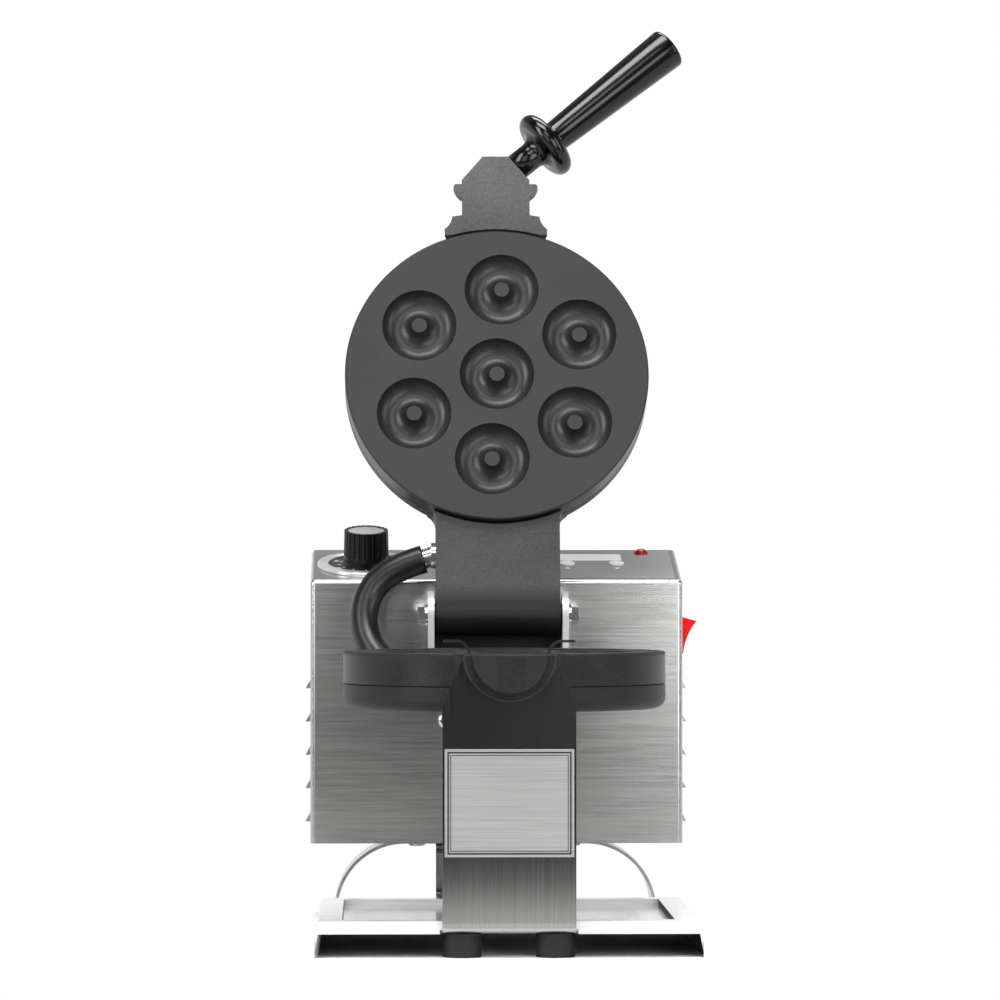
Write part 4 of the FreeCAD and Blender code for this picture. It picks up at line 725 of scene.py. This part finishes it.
def dial_ticks():
    bm = bmesh.new()
    for index in range(DIAL_TICKS):
        made = bmesh.ops.create_grid(bm, x_segments=1, y_segments=1, size=0.5)["verts"]
        bmesh.ops.scale(bm, vec=(TICK_LENGTH, TICK_WIDTH, 1.0), verts=made)
        bmesh.ops.translate(bm, vec=(TICK_RING, 0, 0), verts=made)
        bmesh.ops.rotate(bm, matrix=Matrix.Rotation(dial_turn(index), 3, "Z"), verts=made)
    thicken(bm)
    lift = Matrix.Translation((*DIAL_AT, DIAL_T))
    bmesh.ops.transform(bm, matrix=panel_matrix() @ lift, verts=bm.verts)
    new_piece("dial_ticks", bm, print_white, "base")


def dial_number(index):
    data = bpy.data.curves.new("dial_number", "FONT")
    data.body = str(index * NUMBER_STEP)
    data.size = NUMBER_SIZE
    data.align_x = "CENTER"
    data.align_y = "CENTER"
    data.extrude = PRINT_T / 2
    text = bpy.data.objects.new("dial_number", data)
    mesh = bpy.data.meshes.new_from_object(text)
    bpy.data.objects.remove(text)
    bm = bmesh.new()
    bm.from_mesh(mesh)
    turn = dial_turn(index)
    spin = Matrix.Rotation(turn - math.pi / 2, 4, "Z")
    spot = (NUMBER_RING * math.cos(turn), NUMBER_RING * math.sin(turn), PRINT_T / 2)
    lift = Matrix.Translation((*DIAL_AT, DIAL_T)) @ Matrix.Translation(spot)
    bmesh.ops.transform(bm, matrix=panel_matrix() @ lift @ spin, verts=bm.verts)
    new_piece(f"dial_number_{index}", bm, print_white, "base")


dial_ticks()
for tick in range(0, DIAL_TICKS, NUMBER_EVERY):
    dial_number(tick)


# Floor, world and lamps

# Studio floor in metres: white to the camera, while metal sees its own colour, which is pale round the
# object and dark towards the front. Under the footprint it is a plain matt surface that keeps the shadow
FLOOR_HALF = 30.0
FOOTPRINT_HALF = (0.118, 0.2, 0.0)
FOOTPRINT_BLEND = 0.008
DARK_FROM_Y = -0.62
DARK_FULL_Y = -0.74


def floor_finish():
    material, tree, shader, where = new_finish("floor_white", Roughness=0.9)
    spot = add(tree, "ShaderNodeVectorMath", {"operation": "ABSOLUTE"}, {0: where.outputs["Object"]})
    past = add(
        tree, "ShaderNodeVectorMath", {"operation": "SUBTRACT", 1: FOOTPRINT_HALF},
        {0: spot.outputs["Vector"]},
    )
    outside = add(
        tree, "ShaderNodeVectorMath", {"operation": "MAXIMUM", 1: (0.0, 0.0, 0.0)},
        {0: past.outputs["Vector"]},
    )
    reach = add(tree, "ShaderNodeVectorMath", {"operation": "LENGTH"}, {0: outside.outputs["Vector"]})
    far = add(tree, "ShaderNodeMapRange", {"From Max": FOOTPRINT_BLEND}, {"Value": reach.outputs["Value"]})
    depth = add(tree, "ShaderNodeSeparateXYZ", links={"Vector": where.outputs["Object"]})
    front = add(
        tree, "ShaderNodeMapRange", {"From Min": DARK_FROM_Y, "From Max": DARK_FULL_Y},
        {"Value": depth.outputs["Y"]},
    )
    colour = add(
        tree, "ShaderNodeMix", {"data_type": "RGBA", 6: tint("#f4f4f4"), 7: tint("#303030")},
        {0: front.outputs["Result"]},
    )
    tree.links.new(colour.outputs[2], shader.inputs["Base Color"])
    ray = add(tree, "ShaderNodeLightPath")
    mirrored = add(
        tree, "ShaderNodeMath", {"operation": "MAXIMUM"},
        {0: ray.outputs["Is Glossy Ray"], 1: ray.outputs["Is Transmission Ray"]},
    )
    looked_at = add(
        tree, "ShaderNodeMath", {"operation": "MAXIMUM"},
        {0: ray.outputs["Is Camera Ray"], 1: mirrored.outputs["Value"]},
    )
    seen = add(
        tree, "ShaderNodeMath", {"operation": "MULTIPLY"},
        {0: far.outputs["Result"], 1: looked_at.outputs["Value"]},
    )
    shown = add(
        tree, "ShaderNodeMix", {"data_type": "RGBA", 7: tint("#ffffff")},
        {0: ray.outputs["Is Camera Ray"], 6: colour.outputs[2]},
    )
    white = add(tree, "ShaderNodeEmission", {"Strength": 1.0}, {"Color": shown.outputs[2]})
    mix = add(
        tree, "ShaderNodeMixShader",
        links={0: seen.outputs["Value"], 1: shader.outputs["BSDF"], 2: white.outputs["Emission"]},
    )
    tree.links.new(mix.outputs["Shader"], tree.nodes["Material Output"].inputs["Surface"])
    return material


floor_bm = bmesh.new()
bmesh.ops.create_grid(floor_bm, x_segments=1, y_segments=1, size=FLOOR_HALF)
floor_mesh = bpy.data.meshes.new("floor")
floor_bm.to_mesh(floor_mesh)
floor_bm.free()
floor_mesh.materials.append(floor_finish())
floor = bpy.data.objects.new("floor", floor_mesh)
scene.collection.objects.link(floor)

# White backdrop to the camera; metal and glass see it low down behind the object and dimmer above,
# and everything gets a weak even fill
FILL_MATT = 0.15
FILL_ALL = 0.03
BACKDROP_ABOVE = 0.25


def studio_world():
    world = bpy.data.worlds.new("studio")
    world.use_nodes = True
    sky = world.node_tree
    ray = add(sky, "ShaderNodeLightPath")
    look = add(sky, "ShaderNodeTexCoord")
    way = add(sky, "ShaderNodeSeparateXYZ", links={"Vector": look.outputs["Generated"]})
    behind = add(
        sky, "ShaderNodeMapRange", {"From Min": -0.1, "From Max": 0.3}, {"Value": way.outputs["Y"]}
    )
    low = add(
        sky, "ShaderNodeMapRange",
        {"From Min": 0.2, "From Max": 0.45, "To Min": 1.0, "To Max": BACKDROP_ABOVE},
        {"Value": way.outputs["Z"]},
    )
    backdrop = add(
        sky, "ShaderNodeMath", {"operation": "MULTIPLY"},
        {0: behind.outputs["Result"], 1: low.outputs["Result"]},
    )
    bounced = add(
        sky, "ShaderNodeMath", {"operation": "MAXIMUM"},
        {0: ray.outputs["Is Glossy Ray"], 1: ray.outputs["Is Transmission Ray"]},
    )
    mirrored = add(
        sky, "ShaderNodeMath", {"operation": "MULTIPLY"},
        {0: bounced.outputs["Value"], 1: backdrop.outputs["Value"]},
    )
    seen = add(
        sky, "ShaderNodeMath", {"operation": "MAXIMUM"},
        {0: ray.outputs["Is Camera Ray"], 1: mirrored.outputs["Value"]},
    )
    fill = add(
        sky, "ShaderNodeMath", {"operation": "MULTIPLY_ADD", 1: FILL_MATT, 2: FILL_ALL},
        {0: ray.outputs["Is Diffuse Ray"]},
    )
    dim = sky.nodes["Background"]
    dim.inputs["Color"].default_value = tint("#ffffff")
    sky.links.new(fill.outputs["Value"], dim.inputs["Strength"])
    white = add(sky, "ShaderNodeBackground", {"Color": tint("#ffffff"), "Strength": 1.0})
    mix = add(
        sky, "ShaderNodeMixShader",
        links={0: seen.outputs["Value"], 1: dim.outputs["Background"], 2: white.outputs["Background"]},
    )
    sky.links.new(mix.outputs["Shader"], sky.nodes["World Output"].inputs["Surface"])
    return world


scene.world = studio_world()

# Name, place, aim, width, height and power of each lamp; the cards are dim panels that the steel mirrors
LAMPS = (
    ("lamp_key", (-0.2, -0.6, 2.2), (0.0, 0.0, 0.25), 1.2, 0.8, 34.0),
    ("lamp_back", (0.2, 0.8, 2.1), (0.0, 0.1, 0.2), 1.2, 0.6, 20.0),
    ("lamp_left", (-1.5, -0.9, 0.9), (0.0, 0.0, 0.3), 0.6, 1.4, 20.0),
    ("lamp_right", (1.4, -0.7, 0.8), (0.0, 0.0, 0.3), 0.6, 1.2, 7.0),
    ("lamp_front", (-0.1, -1.4, 1.36), (0.0, 0.0, 0.35), 0.6, 0.5, 4.5),
    ("card_right", (0.47, -1.0, 0.42), (0.25, 0.1, 0.18), 0.5, 0.7, 4.6),
    ("card_left", (-0.46, -1.0, 0.46), (-0.25, 0.1, 0.18), 0.5, 0.7, 2.1),
)


def panel_lamp(name, spot, aim, width, height, power):
    data = bpy.data.lights.new(name, "AREA")
    data.shape = "RECTANGLE"
    data.size = width
    data.size_y = height
    data.energy = power
    lamp = bpy.data.objects.new(name, data)
    lamp.location = spot
    lamp.rotation_euler = (Vector(aim) - Vector(spot)).to_track_quat("-Z", "Y").to_euler()
    lamp.visible_camera = False
    scene.collection.objects.link(lamp)


for lamp_values in LAMPS:
    panel_lamp(*lamp_values)
